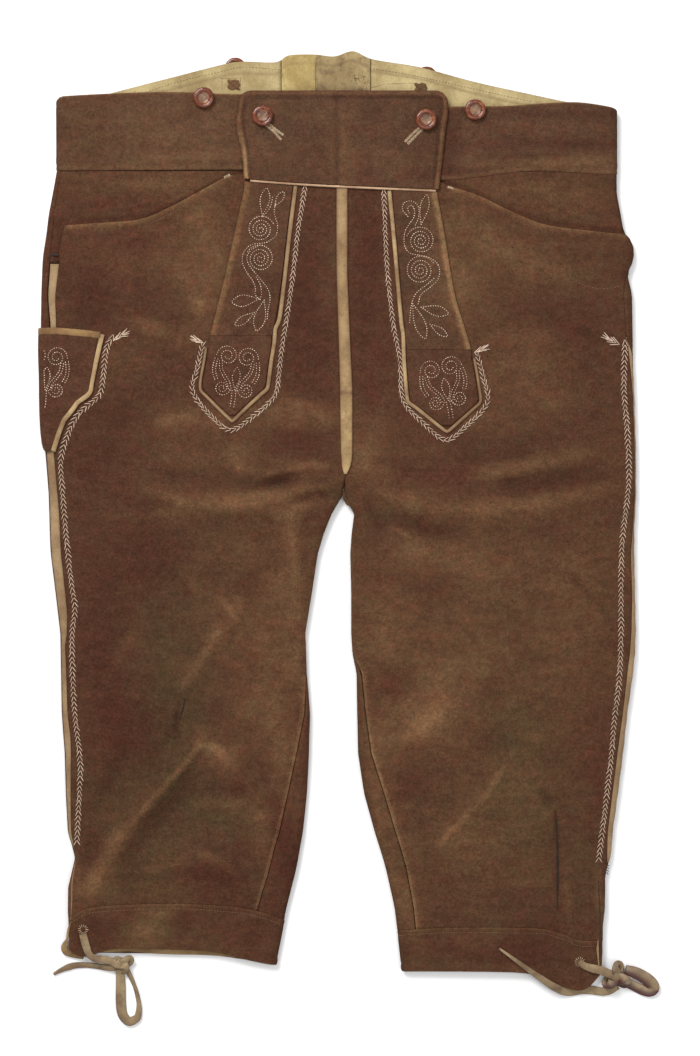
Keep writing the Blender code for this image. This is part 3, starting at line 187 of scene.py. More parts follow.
# folds and creases: a quadratic line, how wide and high, and how pale the crest is painted: partly wear from rubbing,
# partly a painted highlight; below zero it is painted shade along the trough
Fold = namedtuple("Fold", "x0 y0 x1 y1 x2 y2 width height rub")
folds = rowsOf(Fold, [
    # broad ones
    (-190, 36, -100, -6, -8, 26, 12, 3.4, 0.1), (-84, 34, -45, 50, -6, 38, 9, 2.2, 0.1),
    (-165, 78, -110, 88, -88, 66, 14, 1.8, 0.1), (14, 36, 100, -14, 240, 32, 14, 3.6, 0.15),
    (108, 32, 165, 48, 234, 58, 12, 2.4, 0.1), (32, 12, 80, -30, 150, -18, 12, -2, 0),
    (-116, -186, -150, -226, -219, -322, 10, 3.6, 0.1), (-92, -84, -120, -118, -139, -150, 12, 2, 0.05),
    (-168, -190, -190, -220, -202, -252, 14, -2, 0), (-177, -296, -128, -276, -84, -304, 10, 2, 0.1),
    (146, -203, 118, -246, 78, -280, 12, 3, 0.1), (104, -120, 70, -160, 66, -200, 22, 2, 0.2),
    # right leg, crotch to knee
    (-186, 33, -105, 0, -30, 26, 4.5, 1.1, 0.2), (-172, 50, -100, 18, -22, 38, 6, -1.3, -0.3),
    (-66, 36, -40, 50, 2, 44, 3.6, 1.8, 0.4), (-90, 21, -60, 31, -30, 39, 4, -1.6, -0.5),
    (-50, 17, -32, 33, 2, 27, 3.2, 2.2, 0.45), (-47, 11, -27, 24, -4, 21, 3.2, -1.4, -0.45),
    (-24, 30, -40, 16, -40, -4, 3.2, 1.6, 0.25), (-40, 8, -38, -26, -35, -62, 3.2, 1.4, 0.3),
    (-150, 20, -110, 4, -60, 12, 4.5, 1.2, 0.25), (-160, 79, -140, 88, -121, 85, 5, 0.8, 0.3),
    (-50, 102, -14, 99, -3, 74, 4.5, 0.8, 0.35), (-182, 177, -156, 158, -121, 154, 6, 0.9, 0.35),
    (-92, -84, -110, -110, -139, -150, 4.5, 1.2, 0.45), (-168, -84, -182, -116, -202, -141, 5, 0.7, 0.2),
    (-26, 14, -30, -12, -28, -50, 4, -0.9, -0.25), (-60, 6, -42, 0, -20, 12, 5, 0.9, 0.25),
    (-140, -30, -120, -52, -112, -76, 6, 0.5, 0.15), (-104, -62, -90, -76, -84, -92, 3, 0.5, 0.4),
    (-88, -60, -82, -72, -82, -84, 3, 0.4, 0.35),
    # right knee
    (-112, -184, -132, -212, -188, -270, 2.1, 1.8, 0.75), (-176, -256, -200, -290, -218, -326, 7, 1.6, 0.65),
    (-112, -204, -150, -250, -184, -292, 9, -1.8, -0.4), (-122, -226, -98, -232, -74, -230, 6, -0.9, -0.3),
    (-112, -190, -92, -208, -76, -212, 6, 0.9, 0.15), (-110, -188, -100, -196, -90, -214, 4, 0.7, 0.2),
    (-178, -298, -142, -301, -126, -284, 5, 0.9, 0.25), (-126, -284, -106, -279, -83, -306, 3.4, 1, 0.25),
    (-134, -238, -100, -242, -74, -240, 5, 0.6, 0.25), (-178, -186, -194, -216, -202, -250, 8, -1.2, -0.3),
    (-133, -150, -140, -170, -136, -186, 3, -0.9, -0.5), (-205, -250, -214, -280, -218, -310, 5, -0.7, -0.2),
    # left leg, crotch to knee
    (16, 38, 52, 4, 104, 7, 5, 1.2, 0.2), (100, 6, 160, 8, 238, 30, 5.5, 0.9, 0.15),
    (108, 33, 166, 48, 232, 58, 5.5, 0.8, 0.15), (86, 24, 160, 30, 236, 44, 6.5, -1.1, -0.3),
    (92, 52, 150, 56, 200, 74, 6.5, -0.8, -0.2), (27, 14, 62, -16, 142, -18, 7, -1, -0.25),
    (189, -38, 212, -60, 236, -90, 2.4, -0.8, -0.3), (116, -97, 140, -113, 164, -124, 2.6, 0.5, 0.15),
    (20, 26, 26, 4, 44, -12, 3, -0.8, -0.3), (40, -4, 52, -8, 64, -16, 2.4, 0.5, 0.45),
    (12, 52, 30, 40, 60, 38, 6, 0.8, 0.25), (60, -30, 100, -44, 160, -40, 9, 0.7, 0.15),
    # left knee
    (142, -205, 132, -228, 113, -247, 2.4, 1.3, 0.5), (118, -241, 98, -262, 82, -279, 2.6, 1, 0.5),
    (184, -242, 187, -270, 186, -334, 2.4, -0.5, -0.35), (172, -226, 176, -234, 180, -246, 4, -0.7, -0.3),
    (150, -190, 163, -176, 177, -190, 5, 0.6, 0.2), (96, -150, 80, -176, 40, -196, 7, 0.8, 0.25),
    (100, -290, 140, -300, 176, -292, 7, 0.6, 0.15), (192, -300, 198, -330, 196, -350, 4, 0.8, 0.25),
    (110, -190, 140, -180, 150, -200, 8, -0.6, -0.15),
    # hips
    (-220, 232, -180, 214, -130, 226, 10, 0.8, 0.15), (-140, 226, -118, 190, -112, 170, 8, 0.7, 0.25),
    (116, 236, 150, 214, 210, 210, 9, 0.6, 0.15), (196, 168, 220, 152, 244, 156, 6, -0.8, -0.2),
    (120, 170, 160, 156, 196, 150, 8, 0.6, 0.15), (130, 110, 160, 96, 220, 104, 9, 0.6, 0.15),
    (-226, 120, -200, 130, -186, 150, 7, 0.5, 0.1),
    # waistbands; the first two have no height and are only painted crease shade
    (-128, 336, -108, 329, -88, 336, 1.3, 0, -0.4), (-122, 339, -108, 343, -92, 339, 1.2, 0, -0.3),
    (88, 300, 120, 304, 165, 304, 4, 0.7, 0.2), (150, 303, 170, 300, 186, 293, 2, -0.7, -0.3),
])

# soft marks on the leather: the first value is wear, pale above zero, and below zero darkens toward the deep colour,
# painted shade beside the raised strips and along creases as well as darker patches; olive is greasy and dark, red is
# the unworn brown
Mark = namedtuple("Mark", "x y rx ry turn wear olive red", defaults=(0, 0))
marks = rowsOf(Mark, [
    (-150, 215, 70, 26, 5, 0.16), (-112, 205, 16, 44, -12, 0.34, 0.1), (-200, 200, 30, 40, 0, 0.05, 0, 0.2),
    (-118, 262, 16, 8, 30, 0.3), (-160, 150, 60, 18, -8, 0.12), (-120, 88, 36, 10, 6, 0.34),
    (-34, 92, 38, 12, -4, 0.36), (-75, 88, 40, 20, 0, 0.1, 0, 0.1), (-87, 52, 7, 10, 12, 0.6),
    (-140, 54, 40, 14, -10, 0.2), (-32, 68, 20, 13, 0, -0.2, 0, 0.5), (-92, 44, 30, 9, 0, 0, 0.2, 0.2),
    (-60, 20, 46, 9, -8, 0.4), (-120, 12, 50, 8, 12, 0.36), (-200, 40, 34, 60, 0, -0.05, 0, 0.25),
    (-100, -20, 40, 24, 0, 0.14, 0.12), (-44, -34, 16, 50, -14, 0.34), (-36, -110, 11, 70, -4, 0.36),
    (-62, -100, 28, 60, -4, 0.2, 0, 0.05), (-100, -76, 22, 20, 0, 0.28, 0.1), (-150, -60, 34, 70, 8, 0, 0.5),
    (-135, -150, 24, 50, 10, 0, 0.75, 0.05), (-205, -100, 24, 80, 0, -0.1, 0, 0.45),
    (-180, -150, 22, 50, 0, 0, 0.25, 0.2), (-112, -188, 14, 9, -35, 0.38), (-98, -205, 26, 12, 15, 0.18),
    (-50, -200, 16, 60, 8, 0.42), (-82, -165, 18, 30, 0, 0.16, 0, 0.2), (-150, -215, 30, 24, 35, 0, 0.55),
    (-190, -240, 20, 30, 0, 0, 0.5, 0.1), (-100, -252, 34, 14, 0, 0.12, 0.45), (-62, -262, 14, 30, 10, 0.35),
    (-104, -300, 26, 14, 0, -0.1, 0, 0.5), (-150, -270, 24, 18, 30, 0.1, 0.4), (-196, -300, 12, 26, -30, 0.4, 0.1),
    (-160, -312, 26, 10, 0, 0.1, 0.4), (-222, -310, 8, 26, 0, 0.25), (-40, -290, 8, 60, 12, -0.2, 0, 0.6),
    (22, 54, 18, 26, 0, 0.42), (60, 20, 36, 12, 20, 0.24), (110, 90, 34, 16, 0, 0.28), (150, 130, 40, 30, 0, 0.24),
    (66, -26, 13, 12, 0, 0.32), (90, -24, 44, 12, 6, 0.22), (200, 20, 50, 8, 14, 0.25), (120, 12, 40, 8, 2, 0.25),
    (150, 46, 40, 8, 12, 0.22), (96, 38, 30, 9, 10, -0.1, 0, 0.5), (170, 28, 50, 7, 10, -0.1, 0.2, 0.5),
    (56, -54, 40, 10, -10, -0.1, 0, 0.4), (36, -96, 22, 46, 0, 0.28), (80, -100, 44, 30, 0, 0.14),
    (140, -70, 50, 36, 0, 0.08, 0.25), (200, -60, 30, 60, 0, 0, 0.1, 0.2), (66, -160, 28, 24, 30, 0.26),
    (46, -140, 18, 12, 0, -0.2, 0, 0.4), (36, -190, 14, 30, 0, 0.3), (100, -140, 38, 20, 40, 0.2),
    (152, -186, 22, 26, 0, -0.06, 0.8), (156, -240, 22, 44, 0, 0.05, 0.7), (186, -190, 14, 50, 0, 0, 0.1, 0.3),
    (60, -226, 26, 26, 0, 0, 0, 0.4), (118, -268, 26, 12, 0, 0.32, 0.1), (150, -306, 34, 8, 0, 0.18),
    (100, -320, 50, 10, 0, 0, 0, 0.35), (206, -300, 10, 40, 0, 0, 0.35), (52, -270, 12, 50, 14, 0.3),
    (190, -110, 34, 20, 0, 0.1, 0.1), (130, 240, 40, 14, -20, 0.3, 0.2), (110, 200, 24, 40, 0, 0.2, 0.15),
    (180, 214, 50, 16, 0, 0.12, 0.1), (210, 164, 26, 14, 0, -0.1, 0, 0.45), (170, 180, 40, 12, 0, 0, 0, 0.2),
    (90, 120, 30, 60, 0, 0, 0, 0.2), (-30, 200, 16, 90, -3, -0.2, 0, 0.55), (26, 220, 16, 80, 0, -0.2, 0, 0.6),
    (-16, 130, 18, 40, 0, -0.1, 0, 0.4), (26, 120, 20, 44, 0, 0.02, 0, 0.3),
    # waistbands and yokes
    (190, 320, 70, 5, 0, -0.22, 0, 0.35), (180, 345, 60, 4.5, -2, -0.18, 0, 0.3), (190, 305, 60, 4, 2, 0.42, 0.1),
    (96, 320, 7, 30, 0, -0.25, 0, 0.3), (-170, 330, 60, 30, 0, 0.2, 0.05), (-130, 308, 70, 7, 3, 0.3),
    (-100, 336, 30, 20, 0, 0.12), (-220, 330, 16, 40, 0, 0.1, 0.1), (160, 330, 60, 20, 0, 0.06, 0, 0.1),
    (110, 300, 50, 6, 8, -0.2, 0, 0.4), (190, 302, 60, 5, 0, 0.22, 0.1), (-150, 286, 50, 7, 0, 0.26, 0.2),
    (-190, 270, 40, 8, 0, 0, 0, 0.4), (170, 280, 60, 10, 0, 0.2, 0.25), (120, 286, 30, 10, 0, 0.05, 0, 0.2),
    # the last, smaller ones
    (-212, 190, 20, 40, 0, -0.12, 0, 0.35), (-170, 232, 40, 16, 0, -0.08, 0, 0.3), (44, 42, 30, 10, 0, -0.12, 0, 0.4),
    (-160, -34, 30, 40, 0, -0.1, 0, 0.4), (-186, -290, 20, 16, 0, -0.12, 0.3, 0.2), (189, 268, 30, 18, 0, 0.16),
    (-32, 77, 18, 14, 0, 0.14), (100, -280, 18, 18, 0, 0.16), (-46, -280, 10, 40, 10, -0.12, 0, 0.2),
    (-104, 102, 16, 24, 0, -0.05, 0, 0.3), (-220, 330, 30, 30, 0, -0.08, 0, 0.1), (44, -34, 16, 20, 0, 0, 0, 0.25),
    # cuffs
    (-162, -352, 14, 12, 20, 0.36, 0.4), (-150, -333, 22, 6, 10, 0.3, 0.2), (-80, -352, 40, 12, 0, 0, 0, 0.5),
    (-206, -350, 20, 14, 0, -0.1, 0, 0.6), (-130, -340, 12, 10, 0, -0.1, 0, 0.5), (110, -366, 60, 10, 0, 0, 0, 0.4),
    (80, -376, 40, 6, 0, 0.05, 0.3), (120, -358, 20, 8, 30, 0.2, 0.1), (160, -366, 20, 10, 0, -0.1, 0, 0.5),
    # all over again, smaller
    (-211, 187, 22, 26, 0, -0.24, 0.15), (-151, -188, 28, 36, 0, -0.24), (-185, -297, 18, 20, 0, -0.18, 0.1),
    (-126, 238, 22, 18, 0, 0.22, 0.1), (95, 204, 14, 34, 0, 0.4, 0.2), (-83, 56, 16, 11, 0, 0.22),
    (214, -67, 20, 34, 0, 0.16, 0.1), (-160, -349, 16, 10, 20, 0.2, 0.5), (155, -220, 22, 32, 0, 0.1, 0.4),
    (95, -280, 26, 22, 0, 0.18, 0, 0.1), (-140, 128, 20, 16, 0, -0.1, 0, 0.1), (-48, -280, 8, 60, 12, -0.2, 0, 0.1),
    (-176, 90, 56, 76, 0, -0.13, 0, 0.1), (-165, 190, 60, 34, 0, -0.1, 0, 0.05), (12, 304, 66, 26, 0, 0.16, 0, 0.1),
    (130, -150, 110, 56, 0, 0.17, 0.14), (138, -245, 84, 46, 0, 0.12, 0.2), (-140, -352, 70, 12, 0, 0.12, 0.3),
    (222, -322, 3, 26, 3, 0.45, 0.3), (-228.6, -318, 3, 28, 2, 0.35, 0.4), (-184, -180, 28, 30, 0, -0.08, 0, 0.6),
    (-216, -230, 12, 30, 0, -0.05, 0.3, 0.1), (-108, -246, 34, 12, -20, -0.08, 0.5),
    (-206, -290, 10, 16, 0, -0.05, 0, 0.5), (-150, -292, 16, 14, 0, -0.08, 0.5),
    (-112, -308, 26, 12, 0, -0.06, 0, 0.4), (-112, -190, 10, 7, -30, 0.34), (-134, -312, 40, 7, 0, 0.16, 0.2),
    (-66, -130, 24, 40, 0, 0.1), (33, -240, 8, 40, 8, 0.6), (52, -316, 9, 36, 20, 0.6), (70, -180, 26, 14, 30, 0.25),
    (60, -150, 30, 12, 0, 0, 0, 0.4), (110, -196, 30, 14, -20, 0, 0, 0.35), (50, -60, 24, 40, 0, 0.12),
    (140, -44, 60, 30, 0, 0.16), (200, -60, 26, 60, 0, 0.12), (96, -322, 40, 14, 0, 0.18),
    (220, -200, 14, 60, 6, 0, 0, 0.5), (-196, -120, 20, 50, 0, -0.08, 0.3, 0.2), (-160, -30, 40, 30, 0, -0.1, 0, 0.3),
])

Edge = namedtuple("Edge", "x y")
frontTop = {
    "right": rowsOf(Edge, [
        (-260, 250), (-231, 250.5), (-190, 253), (-161, 256), (-137, 267), (-110, 283), (-92, 293), (-78, 294),
        (-60, 288.6), (10, 288.6),
    ]),
    "left": rowsOf(Edge, [
        (-10, 288.6), (78, 288.6), (94, 283.6), (118, 276), (145, 262), (172, 251), (208, 246), (244, 242),
        (260, 241),
    ]),
}
cuffSeam = {
    "right": rowsOf(Edge, [
        (-236, -340), (-224, -336), (-207, -329), (-144, -326), (-93, -328.5), (-67, -333), (-47, -339.5),
        (-30, -342),
    ]),
    "left": rowsOf(Edge, [
        (30, -350), (52, -349), (97, -346.5), (167, -347), (192, -352), (206, -357.5), (240, -357.5),
    ]),
}
hemFront = {
    "right": rowsOf(Edge, [
        (-236, -364), (-228, -366), (-217, -371), (-189, -364), (-144, -364.5), (-110, -366), (-93, -369),
        (-54, -377), (-40, -378),
    ]),
    "left": rowsOf(Edge, [
        (40, -383.5), (121, -383.5), (162, -385), (175, -389.5), (197, -397.3), (207, -399.8), (215, -397.5),
        (222, -390), (226, -384),
    ]),
}
hemBack = {
    "right": rowsOf(Edge, [(-240, -368), (-110, -369.5), (-54, -377), (-40, -378)]),
    "left": rowsOf(Edge, [(40, -383.5), (226, -383.5)]),
}
frontWaistTop = {
    "right": rowsOf(Edge, [(-240, 356), (-235, 360), (-149, 363.8), (-81, 361.8), (10, 361.8)]),
    "left": rowsOf(Edge, [(-10, 351.6), (128, 351.6), (172, 354), (204, 355), (233, 350.6), (238, 347)]),
}
frontWaistBottom = {
    "right": rowsOf(Edge, [(-240, 297.6), (-80, 298.4), (10, 298.4)]),
    "left": rowsOf(Edge, [(-10, 289.6), (88, 289.6), (118, 292), (163, 297), (238, 294)]),
}
backWaistTop = rowsOf(Edge, [
    (-240, 355), (-234, 359), (-203, 362), (-151, 374.5), (-101, 387.3), (-83, 390.5), (-53, 390), (-42, 395.8),
    (-20, 396.6), (-3, 395), (13, 399.4), (30, 392.4), (70, 385.6), (118, 372.8), (172, 361), (204, 355), (234, 350),
    (240, 347),
])
backWaistBottom = {
    "right": rowsOf(Edge, [(-240, 297.8), (0, 298)]),
    "left": rowsOf(Edge, [(0, 298), (200, 297), (238, 294)]),
}
flapBottom = rowsOf(Edge, [(-82, 290.4), (-40, 287.2), (5, 284.7), (84, 281.2)])
Side = namedtuple("Side", "y left right")
flapSides = rowsOf(Side, [
    (366, -83.2, 92.4), (350, -84.6, 92.6), (337, -85.8, 90.8), (308, -81, 88), (276, -79, 84.4),
])
Strip = namedtuple("Strip", "y outer inner")
strips = {
    "right": rowsOf(Strip, [
        (281.6, -79.2, -36.2), (246, -87.1, -40.8), (210, -95, -44.9), (178, -102.9, -49.4), (157, -108.4, -53.6),
    ]),
    "left": rowsOf(Strip, [
        (276.6, 84, 43.9), (241, 90.6, 47.4), (192, 98.9, 51.9), (164, 107.4, 54.4), (145, 112.9, 55.8),
    ]),
}
Route = namedtuple("Route", "x y")
tongues = {
    "right": rowsOf(Route, [
        (-54.1, 151), (-56.8, 134.4), (-59.1, 116), (-60.6, 111.4), (-65.5, 107), (-76.9, 96.5), (-88.2, 85.4),
        (-89.9, 84.2), (-91.5, 85.6), (-99.7, 93.4), (-111.1, 104.8), (-116, 109.6), (-117, 113.4), (-116.4, 121),
        (-113.9, 134.4), (-111.9, 147),
    ]),
    "left": rowsOf(Route, [
        (55.9, 139), (57.2, 120), (58.8, 104), (60.4, 100), (66.5, 95.6), (78.5, 86), (90.6, 76.4), (92.6, 75.4),
        (94.6, 76.6), (104.5, 85.4), (116, 95.6), (120.4, 99.8), (121.2, 103.6), (120, 112), (117.8, 126),
        (115.6, 138),
    ]),
}
pipingTop = {
    "right": rowsOf(Route, [(-36, 284.2), (-40.8, 246), (-45.9, 200.3), (-49.6, 172.2), (-53.2, 162.4)]),
    "left": rowsOf(Route, [(43.6, 280.2), (47, 246), (50.9, 200.3), (53.8, 168), (55.4, 157)]),
}
centreStripRows = [279.9, 250, 210, 170, 140, 112, 84, 58, 46, 39.5]
centreStripHalf = [4.6, 4.7, 4.5, 4.7, 4.9, 5.2, 5, 4.8, 3.6, 1]
Pocket = namedtuple("Pocket", "topRun footRun foot")
knifePocket = rowsOf(Pocket, [
    (50.6, 41.4, 109.4), (36, 35.6, 105.2), (27, 27, 97), (17.8, 17.8, 86), (13.6, 13.6, 77), (9.4, 9.4, 67),
    (6, 6, 59), (2.9, 2.9, 58.5), (0, 0, 64), (-2.9, -2.9, 71), (-5.8, -5.8, 79), (-9, -9, 88), (-14, -14, 101),
    (-25, -18, 109),
])
pocketEdge = [
    (51.8, 158.6), (46.4, 136.2), (42.2, 116.5), (41, 109.7), (35.8, 105.4), (30.2, 101.6), (26.8, 96.9), (22.8, 92),
    (17.8, 86.1), (13.8, 77.3), (9.6, 67.5), (6.2, 59.6),
]
pocketTop = [(52, 154.3), (37, 156), (14, 158), (0, 157.6), (-30, 157)]  # run, y


def smooth(value):
    held = np.clip(value, 0, 1)
    return held * held * (3 - 2 * held)


# a rounded hump: 1 in its middle, fading either way
def hump(value, middle, width):
    return np.exp(-(((value - middle) / width) ** 2))


def asPoints(*parts):
    return np.stack(parts, axis=-1)


def unit(rows):
    return rows / np.maximum(np.linalg.norm(rows, axis=1, keepdims=True), 1e-6)


# values spaced evenly along a route, read at steps from 0 to 1
def changing(steps, values):
    return np.interp(steps, np.linspace(0, 1, len(values)), values)


# a smooth curve through given points, sampled about every step
def along(points, step):
    points = np.array(points, float)
    ends = np.concatenate([[2 * points[0] - points[1]], points, [2 * points[-1] - points[-2]]])
    placed = [points[0]]
    for i in range(1, len(ends) - 2):
        a, b, c, d = ends[i - 1 : i + 3]
        count = max(1, round(float(np.linalg.norm(c - b)) / step))
        for t in np.linspace(0, 1, count + 1)[1:]:
            bent = (2 * a - 5 * b + 4 * c - d) * t**2
            placed.append(0.5 * (2 * b + (c - a) * t + bent + (3 * b - a - 3 * c + d) * t**3))
    return np.array(placed)


# the same table with its corners eased, in smaller steps
def softened(rows, step=4):
    kind = type(rows[0])
    return [kind(*(float(value) for value in point)) for point in along(rows, step)]


# value of a table's column at a height or x
def over(rows, key, column, at):
    rows = sorted((row for row in rows if getattr(row, column) is not None), key=lambda row: getattr(row, key))
    return np.interp(at, [getattr(row, key) for row in rows], [getattr(row, column) for row in rows])


def signOf(side):
    return -1 if side == "right" else 1


for table in (frontTop, cuffSeam, hemFront, frontWaistTop, frontWaistBottom, strips):
    for side in table:
        table[side] = softened(table[side])
backWaistTop, flapSides, flapBottom = softened(backWaistTop, 3), softened(flapSides), softened(flapBottom)


def crotchFactor(y):
    return smooth(1 - (np.asarray(y, float) - crotchY) / crotchBlend)


def backLift(x, y):
    x, y = np.broadcast_arrays(np.asarray(x, float), np.asarray(y, float))
    overButtons = buttonLift * smooth((y - 322) / 38) * smooth((228 - np.abs(x)) / 70)
    overPocket = pocketLift * smooth((x + 186) / -34) * smooth((188 - y) / 22) * smooth((y - 26) / 24)
    return overButtons + overPocket


# the body's form: sections every 2 mm
# one leg's wall at a height, as a closed walk: run 0 at the outer fold, + over the front, - under the back
class Wall:
    def __init__(self, side, y):
        rows, sign = legs[side], signOf(side)
        openCrotch = float(crotchFactor(y))
        outer = over(rows, "y", "outer", y) - half
        centre = sign * over(centreLine, "y", "x", y) + seamGap / 2 + 0.95 * openCrotch
        inner = centre
        if y < crotchY:
            below = over(rows, "y", "inner", y) + half
            topRow = max(row.y for row in rows if row.inner is not None)
            inner = centre + (below - centre) * min(1, (crotchY - y) / (crotchY - topRow))
        loft, puff = over(body, "y", "loft", y), over(body, "y", "puff", y)
        outerRadius = (loft - backLift(sign * (outer - 4), y)) / 2
        innerRadius = (loft - backLift(sign * (inner + 4), y)) / 2
        turn = 1 - np.cos(np.linspace(0, pi / 2, 12))
        middle = np.linspace(outerRadius, outer - inner - innerRadius, 44)[1:-1]
        apart = np.concatenate([outerRadius * turn, middle, (outer - inner) - innerRadius * turn[::-1]])
        fromInner = (outer - inner) - apart
        x = sign * (outer - apart)
        slit = float(smooth((kneeSlitY[side] - y) / kneeSlitBlend))
        outerFold = 1 - (1 - slit) * (1 - self.roundOver(apart, outerRadius))
        innerFold = 1 - openCrotch * (1 - self.roundOver(fromInner, innerRadius))
        swell = smooth(apart / puffReach) * (1 - openCrotch * (1 - smooth(fromInner / puffReach)))
        top = loft + half + puff * swell
        bottom = backLift(x, y) + half
        mid = (top + bottom) / 2
        self.x, self.sign = x, sign
        self.frontZ = mid + (top - mid) * outerFold * innerFold
        self.backZ = mid - (mid - bottom) * outerFold * innerFold
        frontRun = self.runs(x, self.frontZ)
        backRun = self.runs(x, self.backZ)
        self.front, self.back = frontRun[-1], backRun[-1]
        self.outer, self.inner = outer, inner
        self.frontRun = frontRun
        self.walk = np.concatenate([frontRun - self.back - self.front, -backRun[::-1], frontRun])
        self.walkX = np.concatenate([x, x[::-1], x])
        self.walkZ = np.concatenate([self.frontZ, self.backZ[::-1], self.frontZ])

    @staticmethod
    def roundOver(apart, radius):
        return np.sqrt(1 - np.clip(1 - apart / radius, 0, 1) ** 2)

    @staticmethod
    def runs(x, z):
        return np.concatenate([[0], np.cumsum(np.hypot(np.diff(x), np.diff(z)))])

    def at(self, run):
        return np.interp(run, self.walk, self.walkX), np.interp(run, self.walk, self.walkZ)

    def runAtX(self, x):
        return np.interp(-self.sign * x, -self.sign * self.x, self.frontRun)


sectionLow, sectionStep = -406, 2
sectionYs = np.arange(sectionLow, 406.1, sectionStep)
wallsAt = {side: [Wall(side, y) for y in sectionYs] for side in sides}


def sectionValue(side, name, y):
    return np.interp(y, sectionYs, [getattr(wall, name) for wall in wallsAt[side]])


# x and z of the wall, without its folds
def wallXZ(side, y, run):
    y, run = np.broadcast_arrays(np.asarray(y, float), np.asarray(run, float))
    x, z = np.zeros(y.shape), np.zeros(y.shape)
    place = np.clip((y - sectionLow) / sectionStep, 0, len(sectionYs) - 1.001)
    low = place.astype(int)
    part = place - low
    for k in np.unique(low):
        here = low == k
        xa, za = wallsAt[side][k].at(run[here])
        xb, zb = wallsAt[side][k + 1].at(run[here])
        x[here] = xa + (xb - xa) * part[here]
        z[here] = za + (zb - za) * part[here]
    return x, z


# height and tone maps over the front, 1 mm apart, built from the folds and marks above
mapX = np.arange(-262, 262.1, 1)
mapY = np.arange(-406, 406.1, 1)
gridX, gridY = np.meshgrid(mapX, mapY)


def curvePoints(fold, count=12):
    steps = np.linspace(0, 1, count)
    x = (1 - steps) ** 2 * fold.x0 + 2 * steps * (1 - steps) * fold.x1 + steps**2 * fold.x2
    y = (1 - steps) ** 2 * fold.y0 + 2 * steps * (1 - steps) * fold.y1 + steps**2 * fold.y2
    return steps, x, y


# slice of the maps within reach of some points
def window(x, y, reach):
    left, right = np.searchsorted(mapX, [x.min() - reach, x.max() + reach])
    low, high = np.searchsorted(mapY, [y.min() - reach, y.max() + reach])
    return np.s_[low:high, left:right]


foldMap = np.zeros(gridX.shape)
rubAndPaintedLightMap = np.zeros(gridX.shape)
for number, fold in enumerate(folds):
    steps, ax, ay = curvePoints(fold)
    part = window(ax, ay, fold.width * 3)
    x, y = gridX[part], gridY[part]
    nearest = np.full(x.shape, 1e9)
    reached = np.zeros(x.shape)
    for i in range(len(steps) - 1):
        dx, dy = ax[i + 1] - ax[i], ay[i + 1] - ay[i]
        t = np.clip(((x - ax[i]) * dx + (y - ay[i]) * dy) / (dx * dx + dy * dy), 0, 1)
        apart = np.hypot(x - ax[i] - t * dx, y - ay[i] - t * dy)
        closer = apart < nearest
        reached = np.where(closer, steps[i] + t * (steps[i + 1] - steps[i]), reached)
        nearest = np.minimum(nearest, apart)
    ends = smooth(reached / 0.25) * smooth((1 - reached) / 0.25)
    uneven = 1 + 0.22 * np.sin(reached * 9 + number) * (fold.width < 9)
    shape = ends * uneven * hump(nearest, 0, fold.width)
    foldMap[part] += fold.height * shape
    rubAndPaintedLightMap[part] += fold.rub * shape

nearEdge = np.ones(gridX.shape)
levelMap = np.zeros(gridX.shape)
for j, y in enumerate(mapY):
    for side in sides:
        sign = signOf(side)
        outer, inner = sectionValue(side, "outer", y), sectionValue(side, "inner", y)
        mine = (mapX < over(centreLine, "y", "x", y)) if side == "right" else (mapX >= over(centreLine, "y", "x", y))
        apart = outer - sign * mapX
        openCrotch = float(crotchFactor(y))
        edge = smooth(apart / 24) * (1 - openCrotch * (1 - smooth((sign * mapX - inner) / 9)))
        nearEdge[j, mine] = edge[mine]
        wall = wallsAt[side][int(np.clip(round((y - sectionLow) / sectionStep), 0, len(sectionYs) - 1))]
        order = np.argsort(wall.x)
        levelMap[j, mine] = np.interp(mapX[mine], wall.x[order], wall.frontZ[order])
foldMap *= nearEdge
levelMap += foldMap

toneMap = np.zeros((*gridX.shape, 3))
toneMap[..., 0] = rubAndPaintedLightMap
for mark in marks:
    reach = max(mark.rx, mark.ry) * 2.2
    part = window(np.array([mark.x]), np.array([mark.y]), reach)
    dx, dy = gridX[part] - mark.x, gridY[part] - mark.y
    c, s = cos(radians(mark.turn)), sin(radians(mark.turn))
    strength = np.exp(-((dx * c + dy * s) / mark.rx) ** 2 - ((-dx * s + dy * c) / mark.ry) ** 2)
    toneMap[part] += strength[..., None] * np.array([mark.wear, mark.olive, mark.red])


# bilinear reading of a map
def sample(values, x, y):
    x, y = np.broadcast_arrays(np.asarray(x, float), np.asarray(y, float))
    px = np.clip(x - mapX[0], 0, len(mapX) - 1.001)
    py = np.clip(y - mapY[0], 0, len(mapY) - 1.001)
    i, j = px.astype(int), py.astype(int)
    u, v = px - i, py - j
    if values.ndim == 3:
        u, v = u[..., None], v[..., None]
    top = values[j, i] * (1 - u) + values[j, i + 1] * u
    low = values[j + 1, i] * (1 - u) + values[j + 1, i + 1] * u
    return top * (1 - v) + low * v


def frontLevel(x, y):
    return sample(levelMap, x, y)


def tonesAt(grid):
    return sample(toneMap, grid[..., 0], grid[..., 1])


# tone rows that hold only the first value, which darkens toward the stain colour
def darkeningTones(dirt, shape):
    tones = np.zeros((*shape, 3))
    tones[..., 0] = dirt
    return tones


# points on the folded wall, moved outwards: an array of x, y, z
def wallPoint(side, y, run, out=0):
    y, run, out = np.broadcast_arrays(np.asarray(y, float), np.asarray(run, float), np.asarray(out, float))
    x, z = wallXZ(side, y, run)
    onFront = (run >= 0) | (run < -sectionValue(side, "back", y))
    if np.any(out != 0):
        xa, za = wallXZ(side, y, run + 0.6)
        xb, zb = wallXZ(side, y, run - 0.6)
        dx, dz = xa - xb, za - zb
        length = np.maximum(np.hypot(dx, dz), 1e-6)
        sign = signOf(side)
        x, z = x + out * sign * dz / length, z - out * sign * dx / length
    crease = sample(foldMap, x, y)
    z = z + np.where(onFront, crease, np.clip(0.22 * crease, 0, 0.7))  # the back only dents upwards: it lies flat
    return asPoints(x, y, z)


print("form and tone maps done")

